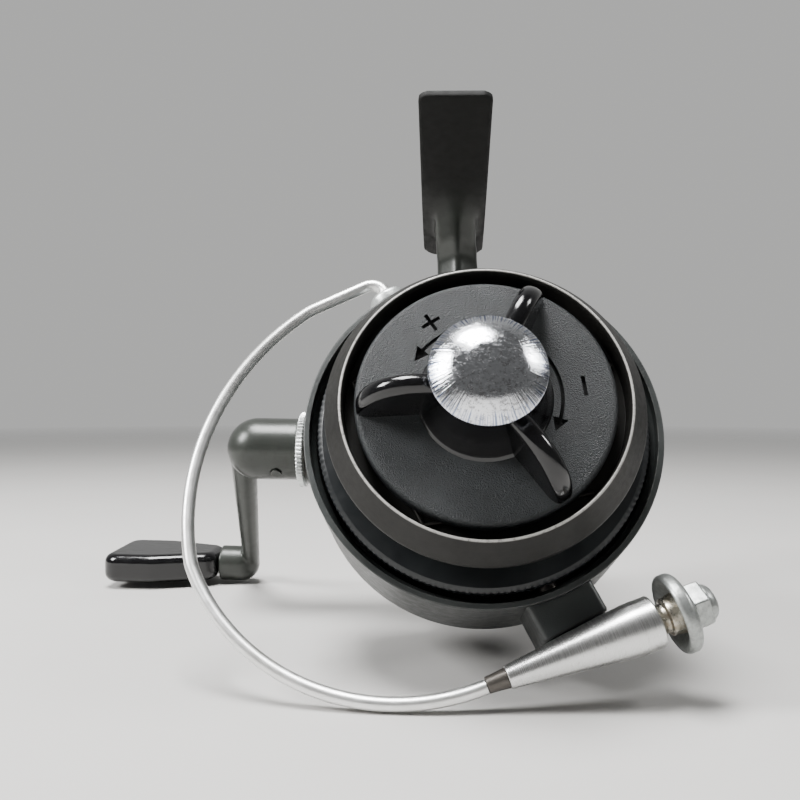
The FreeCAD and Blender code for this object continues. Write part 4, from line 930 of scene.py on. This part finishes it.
def make_camera():
    data = bpy.data.cameras.new("camera")
    data.lens = 38.75
    data.sensor_width = 36.0
    data.clip_start = 0.005
    camera = bpy.data.objects.new("camera", data)
    bpy.context.scene.collection.objects.link(camera)
    camera.matrix_world = Matrix.Translation(point(EYE)) @ turned_to(FORWARD, UP)
    bpy.context.scene.camera = camera


def make_floor():
    """A pale floor under the reel as it rests, seen from above only, fading out into the backdrop."""
    lowest = min(vertex.co.dot(UP)
                 for node in frame["nodes"].values() for vertex in node.data.vertices)
    centre = REEL + UP * (lowest - REEL.dot(UP)) - UP * 0.0002
    rings, around = 24, 96
    angles = [2 * math.pi * step / around for step in range(around)]
    ways = [RIGHT * math.cos(angle) + FORWARD * math.sin(angle) for angle in angles]
    work = bmesh.new()
    rows = []
    for ring in range(1, rings + 1):
        reach = 1.6 * (ring / rings) ** 2
        rows.append([work.verts.new(centre + way * reach) for way in ways])
    middle = work.verts.new(centre)
    for k in range(around):
        after = (k + 1) % around
        work.faces.new((middle, rows[0][k], rows[0][after]))
        for inner, outer in zip(rows, rows[1:]):
            work.faces.new((inner[k], outer[k], outer[after], inner[after]))
    mesh = bpy.data.meshes.new("floor")
    work.to_mesh(mesh)
    work.free()
    floor = bpy.data.objects.new("floor", mesh)
    bpy.context.scene.collection.objects.link(floor)
    finish = Finish("floor_paper", Specular_IOR_Level=0.2)
    mottle = finish.noise(0.02, 4.0, 0.6)
    finish.colour(finish.tint(mottle, (0.50, 0.49, 0.475), (0.54, 0.53, 0.515)))
    finish.roughness(0.75)
    finish.bumps((finish.noise(0.8, 3.0, 0.5), 0.02))
    geometry = finish.tree.nodes.new("ShaderNodeNewGeometry")
    away = finish.tree.nodes.new("ShaderNodeVectorMath")
    away.operation = "DISTANCE"
    finish.put(away.inputs[0], geometry.outputs["Position"])
    away.inputs[1].default_value = centre
    fade = finish.spread(away.outputs["Value"], 0.35, 1.5, 1.0, 0.0)
    front = finish.sum("SUBTRACT", 1.0, geometry.outputs["Backfacing"])
    finish.put(finish.shader.inputs["Alpha"], finish.sum("MULTIPLY", fade, front))
    mesh.materials.append(finish.material)


def add_lamp(name, right, forward, up, width, height, power):
    """A soft rectangular lamp, placed in the room about the reel point and aimed at it."""
    data = bpy.data.lights.new(name, "AREA")
    data.shape = "RECTANGLE"
    data.size = width
    data.size_y = height
    data.energy = power
    lamp = bpy.data.objects.new(name, data)
    bpy.context.scene.collection.objects.link(lamp)
    place = REEL + RIGHT * right + FORWARD * forward + UP * up
    lamp.matrix_world = Matrix.Translation(place) @ turned_to(REEL - place, UP + FORWARD * 0.01)


def make_light():
    """A pale surround ahead of the camera, darker behind it, and three soft lamps."""
    world = bpy.data.worlds.new("studio")
    world.use_nodes = True
    nodes, links = world.node_tree.nodes, world.node_tree.links
    way = nodes.new("ShaderNodeTexCoord")
    ahead = nodes.new("ShaderNodeVectorMath")
    ahead.operation = "DOT_PRODUCT"
    ahead.inputs[1].default_value = FORWARD
    links.new(way.outputs["Generated"], ahead.inputs[0])
    strength = nodes.new("ShaderNodeMapRange")
    strength.inputs["From Min"].default_value = 0.1
    strength.inputs["From Max"].default_value = 0.75
    strength.inputs["To Min"].default_value = 0.14
    strength.inputs["To Max"].default_value = 0.62
    links.new(ahead.outputs["Value"], strength.inputs["Value"])
    background = nodes["Background"]
    background.inputs[0].default_value = (0.80, 0.80, 0.79, 1)
    links.new(strength.outputs["Result"], background.inputs[1])
    bpy.context.scene.world = world
    add_lamp("lamp_top", -0.12, -0.04, 0.60, 0.30, 0.24, 10.0)
    add_lamp("lamp_left", -0.48, -0.14, 0.34, 0.16, 0.22, 5.4)
    add_lamp("lamp_right", 0.50, -0.10, 0.42, 0.12, 0.16, 1.6)


make_camera()
make_floor()
make_light()
